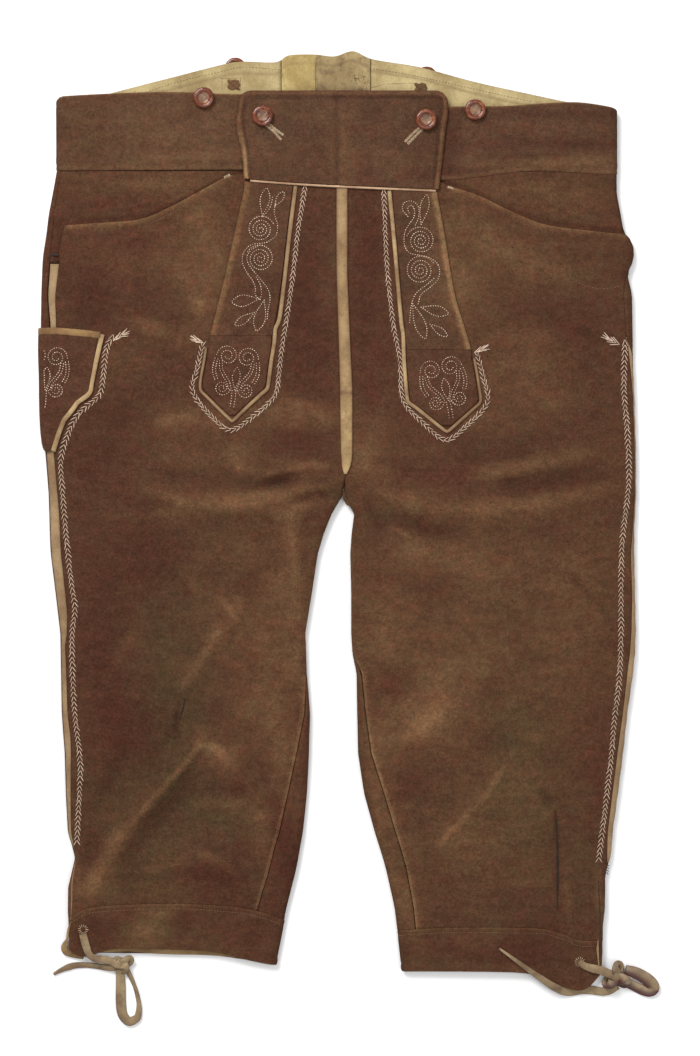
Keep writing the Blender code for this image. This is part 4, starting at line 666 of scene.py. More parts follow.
# what is the same all over is set on the shader itself
def newMaterial(name, rough, sheen=0, coat=0, specular=0.3):
    mat = bpy.data.materials.new(name)
    mat.use_nodes = True
    shader = mat.node_tree.nodes["Principled BSDF"]
    for socket, value in (
        ("Roughness", rough), ("Specular IOR Level", specular), ("Sheen Weight", sheen), ("Sheen Roughness", 0.5),
        ("Coat Weight", coat),
    ):
        shader.inputs[socket].default_value = value
    return mat, mat.node_tree, shader


def place(tree, stretch=(1, 1, 1)):
    coord = tree.nodes.new("ShaderNodeTexCoord")
    mapping = tree.nodes.new("ShaderNodeMapping")
    mapping.inputs["Scale"].default_value = stretch
    tree.links.new(coord.outputs["Object"], mapping.inputs["Vector"])
    return mapping.outputs["Vector"]


# size is about how many millimetres across the blotches are
def noise(tree, vector, size, detail=3, rough=0.55, warp=0):
    made = tree.nodes.new("ShaderNodeTexNoise")
    for socket, value in (("Scale", 1000 / size), ("Detail", detail), ("Roughness", rough), ("Distortion", warp)):
        made.inputs[socket].default_value = value
    tree.links.new(vector, made.inputs["Vector"])
    return made.outputs["Fac"]


# colour ramp: (position, colour or grey) pairs
def ramp(tree, value, *stops):
    made = tree.nodes.new("ShaderNodeValToRGB")
    row = made.color_ramp.elements
    while len(row) < len(stops):
        row.new(0.5)
    for element, (where, colour) in zip(row, stops):
        element.position = where
        element.color = (*colour, 1) if isinstance(colour, tuple) else (colour, colour, colour, 1)
    tree.links.new(value, made.inputs["Fac"])
    return made.outputs["Color"]


def maths(tree, kind, a, b=None, clamp=False):
    made = tree.nodes.new("ShaderNodeMath")
    made.operation = kind
    made.use_clamp = clamp
    for socket, value in zip(made.inputs, (a, b)):
        if isinstance(value, (int, float)):
            socket.default_value = value
        elif value is not None:
            tree.links.new(value, socket)
    return made.outputs["Value"]


def mix(tree, factor, a, b, kind="MIX"):
    made = tree.nodes.new("ShaderNodeMix")
    made.data_type = "RGBA"
    made.blend_type = kind
    for socket, value in ((made.inputs["Factor"], factor), (made.inputs[6], a), (made.inputs[7], b)):
        if isinstance(value, tuple):
            socket.default_value = (*value, 1)
        elif isinstance(value, (int, float)):
            socket.default_value = value
        else:
            tree.links.new(value, socket)
    return made.outputs[2]


# the colour multiplied by a ramp
def shaded(tree, colour, value, *stops):
    return mix(tree, 1, colour, ramp(tree, value, *stops), "MULTIPLY")


def toneParts(tree):
    attribute = tree.nodes.new("ShaderNodeAttribute")
    attribute.attribute_name = "tone"
    split = tree.nodes.new("ShaderNodeSeparateXYZ")
    tree.links.new(attribute.outputs["Vector"], split.inputs["Vector"])
    return split.outputs["X"], split.outputs["Y"], split.outputs["Z"]


# layers of (height, strength) on the shader's normal
def bump(tree, shader, layers, distance=0.4):
    normal = None
    for height, strength in layers:
        made = tree.nodes.new("ShaderNodeBump")
        made.inputs["Strength"].default_value = strength
        made.inputs["Distance"].default_value = distance * mm
        tree.links.new(height, made.inputs["Height"])
        if normal:
            tree.links.new(normal, made.inputs["Normal"])
        normal = made.outputs["Normal"]
    tree.links.new(normal, shader.inputs["Normal"])


# worn suede: brown with olive and ochre patches. The tone attribute's first value makes it paler where it is worn and
# where a highlight is painted on fold crests, and below zero darkens it toward the deep colour, painted shade
def suedeMaterial(name, look):
    mat, tree, shader = newMaterial(name, 0.88, sheen=look["sheen"], specular=0.06)
    at = place(tree)
    wear, olive, red = toneParts(tree)
    patches = noise(tree, at, look["patch"], 4, 0.6, 0.3)
    clouds = noise(tree, at, 19, 4, 0.65, 0.2)
    blots = noise(tree, at, 6, 4, 0.7)
    grain = noise(tree, at, 1.3, 3, 0.7)
    fibre = noise(tree, place(tree, (1, 0.45, 1)), 0.55, 2, 0.7)
    colour = ramp(tree, patches, (0.3, look["dark"]), (0.52, look["base"]), (0.74, look["warm"]))
    colour = mix(tree, ramp(tree, clouds, (0.5, 0), (0.72, 0.55)), colour, look["olive"])
    greasy = maths(tree, "MULTIPLY_ADD", olive, 1)
    greasy = maths(tree, "MULTIPLY", greasy, ramp(tree, blots, (0.25, 0.55), (0.6, 1)), True)
    colour = mix(tree, greasy, colour, look["olive"])
    colour = mix(tree, maths(tree, "MULTIPLY", red, 0.9, True), colour, look["red"])
    rubbedAndHighlit = maths(tree, "MULTIPLY", wear, ramp(tree, clouds, (0.3, 0.55), (0.62, 1.25)), True)
    colour = mix(tree, rubbedAndHighlit, colour, look["wornAndHighlight"])
    colour = mix(tree, maths(tree, "SUBTRACT", wear, 0.9, True), colour, look["bare"])
    shade = maths(tree, "MULTIPLY", wear, -0.9, True)
    colour = mix(tree, shade, colour, look["deep"])
    drift = noise(tree, at, 13, 6, 0.75, 0.4)
    hues = ((0.35, (1.09, 0.925, 0.945)), (0.5, (1, 0.99, 0.985)), (0.65, (0.955, 1.06, 1.02)))
    colour = shaded(tree, colour, drift, *hues)
    streaks = noise(tree, place(tree, (0.4, 1, 1)), 10, 4, 0.7)
    colour = shaded(tree, colour, streaks, (0.32, 0.84), (0.68, 1.1))
    colour = shaded(tree, colour, blots, (0.3, 0.76), (0.7, 1.08))
    colour = shaded(tree, colour, noise(tree, at, 2.6, 3, 0.65), (0.32, 0.72), (0.7, 1.05))
    colour = shaded(tree, colour, grain, (0.28, 0.7), (0.72, 1.04))
    specks = ramp(tree, noise(tree, at, 3.2, 2, 0.5), (0.715, 0), (0.76, 0.75))
    colour = mix(tree, specks, colour, look["speck"])
    tree.links.new(colour, shader.inputs["Base Color"])
    tree.links.new(ramp(tree, clouds, (0.3, 0.94), (0.7, 0.78)), shader.inputs["Roughness"])
    wrinkle = noise(tree, place(tree, (1, 1.7, 1)), look["wrinkle"], 4, 0.6, 0.6)
    bump(tree, shader, [(wrinkle, look["crumple"]), (grain, 0.55), (fibre, 0.5)], 0.5)
    return mat


suedeLook = {
    "dark": (0.09, 0.03, 0.019), "base": (0.117, 0.043, 0.0255), "warm": (0.154, 0.066, 0.034),
    "olive": (0.096, 0.054, 0.026), "red": (0.094, 0.028, 0.018), "wornAndHighlight": (0.22, 0.114, 0.054),
    "bare": (0.38, 0.24, 0.115), "deep": (0.034, 0.013, 0.009), "speck": (0.032, 0.016, 0.011), "patch": 75,
    "sheen": 0,
    "wrinkle": 6, "crumple": 0.6,
}
paints = {
    "suede": suedeMaterial("suedePaint", suedeLook),
    "strip": suedeMaterial("stripPaint", {
        **suedeLook, "dark": (0.096, 0.039, 0.024), "base": (0.128, 0.056, 0.034), "warm": (0.16, 0.078, 0.046),
        "patch": 40, "crumple": 0.25,
    }),
    "band": suedeMaterial("bandPaint", {
        **suedeLook, "dark": (0.09, 0.037, 0.023), "base": (0.122, 0.054, 0.034), "warm": (0.165, 0.082, 0.049),
        "patch": 55, "crumple": 0.35,
    }),
}


# pale leather or cotton, dirtier in blotches, and darker toward the stain colour where the tone attribute's first
# value says so; on the laces that value also holds painted shade
def creamMaterial(name, light, mid, dark, stainAndShade, dirt, cord, rough=0.8):
    mat, tree, shader = newMaterial(name, rough, sheen=0.02, specular=0.18 + (0.8 - rough) * 0.5)
    at = place(tree)
    stainedAndShaded, _, _ = toneParts(tree)
    blots = noise(tree, at, 9, 4, 0.65, 0.3)
    fine = noise(tree, at, 1.6, 3, 0.7)
    colour = ramp(tree, noise(tree, at, 26, 3), (0.36, dark), (0.5, mid), (0.66, light))
    colour = mix(tree, maths(tree, "MULTIPLY", ramp(tree, blots, (0.5, 0), (0.74, 1)), dirt), colour, stainAndShade)
    colour = mix(tree, maths(tree, "MULTIPLY", stainedAndShaded, 1, True), colour, stainAndShade)
    colour = shaded(tree, colour, fine, (0.3, 0.84), (0.7, 1.1))
    if cord:
        dots = ramp(tree, noise(tree, at, 2.4, 2, 0.5), (0.6, 0), (0.66, dirt))
        soot = maths(tree, "MULTIPLY", dots, ramp(tree, noise(tree, at, 14, 2), (0.5, 0), (0.58, 1)))
        colour = mix(tree, soot, colour, stainAndShade)
    tree.links.new(colour, shader.inputs["Base Color"])
    layers = [(blots, 0.3), (fine, 0.6)]
    if cord:
        weave = tree.nodes.new("ShaderNodeTexWave")
        weave.bands_direction = "X"
        weave.inputs["Scale"].default_value = 1000 / cord / 6.28
        weave.inputs["Distortion"].default_value = 1.2
        tree.links.new(at, weave.inputs["Vector"])
        layers.append((weave.outputs["Fac"], 0.35))
    bump(tree, shader, layers, 0.3)
    return mat


pale = [  # name, light, mid, dark, stain and painted shade colour, how dirty, cord width, roughness if not the usual
    ("cream", (0.38, 0.255, 0.12), (0.295, 0.19, 0.088), (0.21, 0.13, 0.06), (0.12, 0.06, 0.032), 0.65, 0),
    ("centreStrip", (0.49, 0.34, 0.165), (0.4, 0.27, 0.125), (0.28, 0.18, 0.083), (0.14, 0.07, 0.038), 0.6, 0),
    ("piping", (0.45, 0.31, 0.155), (0.34, 0.225, 0.115), (0.22, 0.135, 0.067), (0.15, 0.075, 0.04), 0.6, 0),
    ("flapEdge", (0.56, 0.37, 0.23), (0.46, 0.295, 0.18), (0.32, 0.19, 0.11), (0.3, 0.17, 0.1), 0.3, 0),
    ("binding", (0.27, 0.16, 0.065), (0.205, 0.115, 0.047), (0.14, 0.075, 0.031), (0.12, 0.055, 0.03), 0.5, 0),
    ("welt", (0.36, 0.245, 0.13), (0.3, 0.2, 0.105), (0.235, 0.145, 0.075), (0.15, 0.085, 0.045), 0.5, 0),
    ("facing", (0.47, 0.37, 0.185), (0.39, 0.3, 0.145), (0.3, 0.22, 0.1), (0.18, 0.12, 0.055), 0.3, 0.8),
    ("gussetWarm", (0.52, 0.4, 0.18), (0.42, 0.31, 0.125), (0.32, 0.23, 0.085), (0.2, 0.13, 0.055), 0.4, 0.8),
    ("gussetGrey", (0.52, 0.41, 0.2), (0.42, 0.32, 0.15), (0.32, 0.235, 0.11), (0.11, 0.06, 0.03), 0.9, 0.8),
    ("lace", (0.38, 0.285, 0.16), (0.29, 0.21, 0.118), (0.2, 0.135, 0.075), (0.1, 0.05, 0.035), 0.7, 0),
    ("tiedLace", (0.37, 0.28, 0.155), (0.28, 0.2, 0.11), (0.19, 0.125, 0.07), (0.075, 0.026, 0.02), 0.6, 0, 0.34),
]
for name, *values in pale:
    paints[name] = creamMaterial(f"{name}Paint", *values)


def threadMaterial(name, light, dark):
    mat, tree, shader = newMaterial(name, 0.75, sheen=0.05)
    at = place(tree)
    tree.links.new(ramp(tree, noise(tree, at, 5, 3), (0.35, dark), (0.65, light)), shader.inputs["Base Color"])
    bump(tree, shader, [(noise(tree, at, 0.35, 2), 0.6)], 0.15)
    return mat


for name, light, dark in (
    ("thread", (0.62, 0.46, 0.335), (0.42, 0.295, 0.215)), ("brightThread", (0.82, 0.64, 0.48), (0.5, 0.36, 0.26)),
    ("paleThread", (0.58, 0.44, 0.29), (0.4, 0.28, 0.17)), ("tanThread", (0.26, 0.15, 0.08), (0.17, 0.09, 0.05)),
    # blackThread is not thread: it is the near-black painted shadow laid along the knee slits
    ("blackThread", (0.018, 0.009, 0.005), (0.008, 0.004, 0.0025)),
    ("darkThread", (0.045, 0.026, 0.018), (0.02, 0.012, 0.009)),
):
    paints[name] = threadMaterial(f"{name}Paint", light, dark)


# amber horn: a red-brown rim and a paler, worn dish
def buttonMaterial(name):
    mat, tree, shader = newMaterial(name, 0.3, coat=0.2, specular=0.35)
    at = place(tree)
    dish, _, _ = toneParts(tree)
    swirl = noise(tree, at, 5, 4, 0.6, 1.2)
    rim = ramp(tree, swirl, (0.35, (0.07, 0.013, 0.005)), (0.55, (0.15, 0.036, 0.013)), (0.72, (0.29, 0.095, 0.032)))
    middle = ramp(tree, swirl, (0.35, (0.095, 0.045, 0.024)), (0.65, (0.25, 0.135, 0.075)))
    tree.links.new(mix(tree, maths(tree, "MULTIPLY", dish, 1, True), rim, middle), shader.inputs["Base Color"])
    tree.links.new(mix(tree, dish, (0.2, 0.2, 0.2), (0.65, 0.65, 0.65)), shader.inputs["Roughness"])
    bump(tree, shader, [(swirl, 0.25), (noise(tree, at, 1, 3), 0.2)], 0.3)
    return mat


paints["button"] = buttonMaterial("buttonPaint")
print("materials done:", len(paints))

# a smooth-shaded mesh object from points in millimetres
def meshPiece(name, points, faces, paint, tones=None):
    mesh = bpy.data.meshes.new(name)
    mesh.from_pydata((np.asarray(points) * mm).tolist(), [], [tuple(int(i) for i in face) for face in faces])
    mesh.polygons.foreach_set("use_smooth", [True] * len(mesh.polygons))
    if tones is not None:
        layer = mesh.attributes.new("tone", "FLOAT_VECTOR", "POINT")
        layer.data.foreach_set("vector", np.asarray(tones, np.float32).ravel())
    mesh.materials.append(paints[paint])
    mesh.update()
    return link(bpy.data.objects.new(name, mesh))


# quads round a tube, ring after ring
def tubeFaces(rings, around):
    faces = []
    for k in range(0, (rings - 1) * around, around):
        for i in range(around):
            n = (i + 1) % around
            faces.append((k + i, k + n, k + around + n, k + around + i))
    return faces


# cloth of even thickness through a grid of points, in millimetres. cut gives a column and how many rows of it are
# cut apart
def clothPiece(name, grid, wall, paint, tones=None, cut=None):
    grid = np.asarray(grid, float)
    rows, columns = grid.shape[:2]
    points = grid.reshape(-1, 3).copy()
    if tones is None:
        tones = tonesAt(grid)
    tones = np.asarray(tones, float).reshape(-1, 3)
    index = np.arange(rows * columns).reshape(rows, columns)
    other = index.copy()
    if cut:
        column, cutRows = cut
        shift = seamGap / 2 * (1 if grid[0, 0, 0] < grid[0, -1, 0] else -1)
        twins = points[index[:cutRows, column]].copy()
        twins[:, 0] += shift
        points[index[:cutRows, column], 0] -= shift
        other[:cutRows, column] = len(points) + np.arange(cutRows)
        points = np.concatenate([points, twins])
        tones = np.concatenate([tones, tones[index[:cutRows, column]]])
    faces = []
    for i in range(columns - 1):
        near = other if cut and i == cut[0] else index
        faces.append(np.stack([near[:-1, i], near[1:, i], index[1:, i + 1], index[:-1, i + 1]], axis=1))
    obj = meshPiece(name, points, np.concatenate(faces), paint, tones)
    thick = obj.modifiers.new("wall", "SOLIDIFY")
    thick.thickness = wall * mm
    thick.offset = 0
    return obj


# shares from 0 to 1 between two places, closer together near both
def spread(start, end, step, near=(0, 0.5, 1.3, 2.4)):
    whole = abs(end - start)
    ends = [value / whole for value in near if value < whole / 2]
    between = np.linspace(ends[-1], 1 - ends[-1], max(2, round((1 - 2 * ends[-1]) * whole / step)) + 1)
    return np.concatenate([ends[:-1], between, [1 - value for value in reversed(ends[:-1])]])


# how far a turned edge sinks, by the distance from it
def edgeDrop(away, depth=0.45, width=1.4):
    return -depth * (1 - smooth(away / width)) ** 1.5


Stop = namedtuple("Stop", "x y z")
laceStops = {
    "lace_right_tie": rowsOf(Stop, [
        (-217, -351, 9.5), (-215.4, -357.6, 9.4), (-213.6, -363.8, 9.2), (-211.2, -369.4, 8.9), (-206, -372.8, 7.8),
        (-200.4, -373.6, 6.6), (-195, -374.8, 6), (-190, -376.8, 5.6),
    ]),
    "lace_right_end": rowsOf(Stop, [
        (-188.6, -380.4, 3.6), (-194, -381.2, 3.2), (-199, -381, 2.2), (-205, -380.2, 1.4), (-214.5, -379.2, 1.1),
        (-226, -379.8, 1), (-236, -383.4, 1), (-242.6, -387, 1),
    ]),
    "lace_right_loop": rowsOf(Stop, [
        (-185.8, -382, 4.4), (-185.6, -388, 2), (-185.4, -398, 1.1), (-185.2, -412, 1), (-183.4, -422, 1),
        (-177.6, -427.4, 1), (-171.6, -424.4, 1), (-169.8, -414, 1), (-172.6, -400, 1.1), (-177, -389, 2),
        (-180.2, -382, 4.4),
    ]),
    "lace_left_tie": rowsOf(Stop, [
        (204.4, -374.4, 9.2), (209.4, -378.4, 9.1), (215.4, -380.6, 9), (221, -381.8, 9), (225.6, -383.2, 9.3),
        (229.2, -384.6, 10), (233.6, -386.8, 9.4), (239, -389.4, 7.2), (244, -391, 5.6),
        # on into the knot
    ]),
    "lace_left_end": rowsOf(Stop, [
        (238, -396.4, 3.4), (233, -400, 2), (226, -401.8, 1.2), (217, -400.6, 1.1), (208, -400.4, 1.1),
        (200, -401.6, 1.4), (193, -401.2, 3.4), (186.6, -398.2, 7), (180, -394.2, 9.4), (174, -390, 10.1),
        (166, -384.6, 10.3), (150, -373, 10.5), (137, -363.6, 10.6),
    ]),
    "lace_left_loop": rowsOf(Stop, [
        (244.6, -382.4, 5.6), (250.4, -384, 5), (257, -387, 4.4), (263.4, -391, 4), (268, -395.4, 3.2),
        (269, -399.4, 2), (265.4, -401.6, 1.3), (259, -400.2, 1.2), (252.6, -397, 1.6), (246, -393.6, 3),
    ]),
}
# widths and turns (degrees) along the strap
Lace = namedtuple("Lace", "node piece ends lay widths turns paint shade")
laces = [
    Lace("lace_right_tie", "laceRightTie", "knot", "hanging", (6.4, 6.8, 5.6, 6.4, 6.4), (0, 8, 10, 0), "lace", 0.2),
    Lace("lace_right_end", "laceRightEnd", "bare", "loose", (6.4, 5, 4.6, 5.4, 2.2), (12, 20, 10, 0, 0), "lace", 0.3),
    Lace("lace_right_loop", "laceRightLoop", "knot", "loose", (6.8, 8.4, 8.8, 7.4, 5.2, 4.6, 5),
        (0, 0, 6, 24, 46, 52, 30), "lace", 0.2),
    Lace("lace_left_tie", "laceLeftTie", "knot", "hanging", (5, 7.2, 7.4, 6.4), (0, 4, 8, 0), "lace", 0.3),
    Lace("lace_left_end", "laceLeftEnd", "bare", "loose", (6.8, 7, 7.2, 7.4, 6.8, 5.6, 4.4, 3.2, 1.8),
        (0, 0, 0, 6, 14, 14, 18, 10, 0), "lace", 0.05),
    Lace("lace_left_loop", "laceLeftLoop", "knot", "loose", (8, 10.4, 11, 9.6, 8.4, 8.4), (0, -6, -10, -14, 6, 0),
        "tiedLace", 0.95),
]
strapSection = [
    (-0.5, -0.26), (-0.5, 0.26), (-0.4, 0.5), (-0.14, 0.43), (0.14, 0.46), (0.4, 0.5), (0.5, 0.26), (0.5, -0.26),
    (0.4, -0.5), (-0.4, -0.5),
]
laceThick = 1.7


# a flat strap along a route: its width and its turn about the route change along it
def strapMesh(name, route, widths, turns, thick, paint, shade=0, floorZ=0.12):
    route = np.asarray(route, float)
    steps = np.linspace(0, 1, len(route))
    wide = changing(steps, widths)
    turned = np.radians(changing(steps, turns))
    ahead = unit(np.gradient(route, axis=0))
    across = unit(np.cross(ahead, (0, 0, 1)))
    up = np.cross(across, ahead)
    spin, lean = np.cos(turned)[:, None], np.sin(turned)[:, None]
    across, up = across * spin + up * lean, up * spin - across * lean
    points, tones = [], []
    for k, centre in enumerate(route):
        for u, v in strapSection:
            points.append(centre + across[k] * u * wide[k] + up[k] * v * thick)
            # foot marks the half of the strap that faces towards -y, which shade paints darker: painted shade on that
            # side. The underside is darker too, and the outer edges a little
            foot = smooth((0.1 - across[k][1] * u * 2) / 0.5)
            tones.append(((0.55 if v < 0 else 0.1 + 0.25 * (abs(u) > 0.45)) + shade * foot, 0, 0))
    points = np.array(points)
    points[:, 2] = np.maximum(points[:, 2], floorZ)
    around = len(strapSection)
    faces = tubeFaces(len(route), around) + [range(around), range(len(points) - around, len(points))[::-1]]
    return meshPiece(name, points, faces, paint, tones)


Knot = namedtuple("Knot", "node piece x y z rx ry rz turn paint shade")
knots = [
    Knot("knot_right", "knotRight", -183.4, -377.2, 4.6, 9.6, 6.8, 3.9, 8, "lace", 0.3),
    Knot("knot_left", "knotLeft", 237.4, -388.6, 5.4, 11.4, 13.6, 4.6, 58, "tiedLace", 0.95),
]
knotPieces = {}
for row in knots:
    t = np.linspace(0, 2 * pi, 73)
    c, s = cos(radians(row.turn)), sin(radians(row.turn))
    longWay, shortWay = max(row.rx, row.ry) - 2.6, min(row.rx, row.ry) - 2
    u = longWay * (np.sin(t) + 0.9 * np.sin(2 * t)) / 2
    v = shortWay * (np.cos(t) - 0.9 * np.cos(2 * t)) / 2
    x, y = row.x + u * c - v * s, row.y + u * s + v * c
    z = row.z + (row.rz - 1.4) * -np.sin(3 * t)
    knotPieces[row.node] = strapMesh(row.piece, asPoints(x, y, z), (9.2, 8.4, 9.6, 8.2, 9.2), (14, 32, -14, 24, 14),
        2.4, row.paint, shade=row.shade)
    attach(knotPieces[row.node], root)
    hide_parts(row.node)

for row in laces:
    coarse = along(laceStops[row.node], 4.5)
    strap = strapMesh(row.piece, along(coarse, 1.6), row.widths, row.turns, laceThick, row.paint, row.shade)
    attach(strap, root)
    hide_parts(row.node)
print("laces done")

slitLine = [  # x of the line beside the flap, on each side
    ("y", "right", "left"), (289, -35.4, 43), (246, -40.8, 47), (200, -45.9, 51), (163, -52.6, 55),
    (112, -59.4, 57.6), (60, -66, 62), (0, -74, 66), (-100, -84, 76), (-340, -98, 98),
]
legLook = {
    "slitEnd": 163, "upperAnchor": 215, "lowerAnchor": -279, "top": 294, "bottom": -338,
    "rowStep": 2.7, "columnStep": 2.8, "backStep": 6, "mouthWear": 0.5, "corner": 2.6,
    "outerWide": 175, "innerWide": 60,  # about how wide the front is outside and inside the slit line
}


def slitX(side, y):
    rows = sorted(slitLine[1:])
    return np.interp(y, [row[0] for row in rows], [row[1 if side == "right" else 2] for row in rows])


runTables = {}
for side in sides:
    rows, mine = legs[side], wallsAt[side]
    whole = np.array([wall.front for wall in mine])
    inseamRun = whole.copy()
    for k, (y, wall) in enumerate(zip(sectionYs, mine)):
        inseam = over(rows, "y", "inseam", y)
        if y < crotchY and inseam > 0:
            inseamRun[k] = wall.runAtX(wall.sign * (abs(wall.x[-1]) + inseam))
    runTables[side] = {
        "start": over(rows, "y", "frontRun", sectionYs),
        "backStart": over(rows, "y", "backRun", sectionYs),
        "whole": whole,
        "under": np.array([wall.back for wall in mine]),
        "inseam": inseamRun,
        "slit": np.array([wall.runAtX(slitX(side, y)) for y, wall in zip(sectionYs, mine)]),
    }


def runAt(side, name, y):
    return np.interp(y, sectionYs, runTables[side][name])


def inseamGap(y):
    return seamGap + (foldSeamGap - seamGap) * crotchFactor(y)


# a row's height at a column whose panel ends at top and bottom
def panelHeight(nominal, top, bottom):
    low, high = legLook["lowerAnchor"], legLook["upperAnchor"]
    upper = high + (nominal - high) / (legLook["top"] - high) * (top - high)
    lower = low + (nominal - low) / (legLook["bottom"] - low) * (bottom - low)
    return np.where(nominal > high, upper, np.where(nominal < low, lower, nominal))


# run over the front leg, share 0 to 1 from the side seam to the slit line (part 0) or from there to the inner
# seam (part 1)
def frontRunAt(side, y, share, part):
    start, slit = runAt(side, "start", y), runAt(side, "slit", y)
    end = runAt(side, "inseam", y) - inseamGap(y) / 2
    return np.where(part == 0, start + (slit - start) * share, slit + (end - slit) * share)


# wears the leather paler within reach of an edge
def edgeTone(tones, away, reach, wear, dark=0):
    near = hump(away, 0, reach)
    tones[..., 0] += near * wear
    tones[..., 2] += near * dark
    return tones


# heights of a panel's rows before it is fitted to its own top and bottom
def nominalRows(step):
    low, high = legLook["bottom"], legLook["top"]
    return low + (high - low) * spread(low, high, step)[::-1]


def frontLeg(side):
    nominal = nominalRows(legLook["rowStep"])
    outerShare = spread(0, legLook["outerWide"], legLook["columnStep"])
    innerShare = spread(0, legLook["innerWide"], legLook["columnStep"])[1:]
    share = np.concatenate([outerShare, innerShare])
    part = np.concatenate([np.zeros(len(outerShare)), np.ones(len(innerShare))])
    share, y = np.meshgrid(share, nominal)
    part = np.broadcast_to(part, share.shape)
    x, _ = wallXZ(side, y, frontRunAt(side, y, share, part))
    top = over(frontTop[side], "x", "y", x)
    fromCorner = frontRunAt(side, top, share, part) - runAt(side, "start", top)
    reach = np.maximum(legLook["corner"] - fromCorner, 0)
    top = top - legLook["corner"] + np.sqrt(legLook["corner"] ** 2 - reach**2)
    bottom = over(cuffSeam[side], "x", "y", x) + seamGap
    y = panelHeight(y, top, bottom)
    run = frontRunAt(side, y, share, part)
    start, end = runAt(side, "start", y), runAt(side, "inseam", y)
    sink = edgeDrop(run - start) + edgeDrop(end - run) + edgeDrop(y - bottom)
    grid = wallPoint(side, y, run, sink)
    mouth = (np.abs(x) > 92) * smooth((top - y + 12) / 12)
    grid[..., 2] += mouth * 0.55 * hump(top - y, 2.6, 2.2) - mouth * edgeDrop(top - y, 0.5, 1.2) * -1
    tones = tonesAt(grid)
    tones = edgeTone(tones, top - y, 4, legLook["mouthWear"] * mouth)
    tones = edgeTone(tones, top - y, 0.9, 0.5 * mouth)
    seam = (y < crotchY) * smooth((crotchY - y) / 60)
    tones = edgeTone(tones, end - run - 0.6, 2, 0.75 * seam)
    cutRows = int((nominal > legLook["slitEnd"]).sum())
    return clothPiece(f"frontLeg{side.title()}", grid, walls["suede"], "suede", tones,
        cut=(len(outerShare) - 1, cutRows))


def backLeg(side):
    nominal = nominalRows(legLook["backStep"])

    def ends(y):
        under = runAt(side, "under", y)
        wrap = np.maximum(runAt(side, "whole", y) - runAt(side, "inseam", y), 0)
        return runAt(side, "backStart", y), under, wrap, -(under + wrap) + inseamGap(y) / 2

    def columns(y):
        start, under, wrap, end = ends(y)
        lead, tail = np.maximum(start + 1.5, 6), np.maximum(wrap + 2, 8)
        first = [start - lead * value for value in (0, 0.08, 0.2, 0.35, 0.5, 0.65, 0.8, 1, 1.2, 1.45, 1.8, 2.3)]
        last = [end + tail * value for value in (2.3, 1.8, 1.45, 1.2, 1, 0.85, 0.7, 0.55, 0.4, 0.25, 0.1, 0)]
        middle = [first[-1] + (last[0] - first[-1]) * value for value in np.linspace(0, 1, 34)[1:-1]]
        return asPoints(*first, *middle, *last)

    runs = columns(nominal)
    y = np.broadcast_to(nominal[:, None], runs.shape)
    x, _ = wallXZ(side, y, runs)
    bottom = over(cuffSeam[side], "x", "y", x) + seamGap
    top = over(backWaistBottom[side], "x", "y", x) - seamGap
    y = panelHeight(y, top, bottom)
    runs = np.stack([columns(y[:, i])[:, i] for i in range(runs.shape[1])], axis=1)
    start, under, wrap, end = ends(y)
    sink = edgeDrop(start - runs) + edgeDrop(runs - end)
    grid = wallPoint(side, y, runs, sink)
    tones = tonesAt(grid) * 0.6
    tones[..., 2] += 0.25 * (side == "right")
    tones = edgeTone(tones, runs - end, 3, 0.15, 0.3 * (side == "right"))
    return clothPiece(f"backLeg{side.title()}", grid, walls["suede"], "suede", tones)


def declare(piece, nodes):
    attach(piece, root)
    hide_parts(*nodes)


legPieces = {}
for side in sides:
    legPieces["front", side] = frontLeg(side)
    legPieces["back", side] = backLeg(side)
print("legs done")


# pale strip set into the side seam
def weltStrip(side, topY, bottomY):
    y = np.linspace(topY, bottomY, round((topY - bottomY) / 5))
    start = runAt(side, "backStart", y) + foldSeamGap
    end = runAt(side, "start", y) - seamGap
    across = np.linspace(0, 1, 7)
    run = start[:, None] + (end - start)[:, None] * across
    uneven = 0.18 * np.sin(y / 3.1)[:, None] * np.ones(7)
    grid = wallPoint(side, np.broadcast_to(y[:, None], run.shape), run, uneven)
    darkening = darkeningTones(0.15 + 0.5 * np.abs(across - 0.5) ** 2 * 2, run.shape)
    return clothPiece(f"sideWelt{side.title()}", grid, walls["cream"], "welt", darkening)


welts = {"right": weltStrip("right", 218.2, -279), "left": weltStrip("left", 156, -291)}


yokeLook = {
    "top": 302, "lap": 14, "mouth": 284, "inner": {"right": -82, "left": 86}, "rise": 2.2,
    "corner": {"right": 219.2, "left": 228}, "cornerWide": 19, "bandFoot": 297.5,
}
waistLook = {"middle": 325, "topWear": 1.1, "footWear": 0.34}
backColumns = {
    "right": [-224, -204, -184, -164, -142, -120, -96, -72, -48.6, -42],
    "left": [222, 202, 182, 162, 140, 118, 94, 70, 48, 28.1, 21.5],
}
gussetX = {"right": [-48, -42, -30, -19.1], "left": [-19, -4, 10, 21.5, 27.5]}


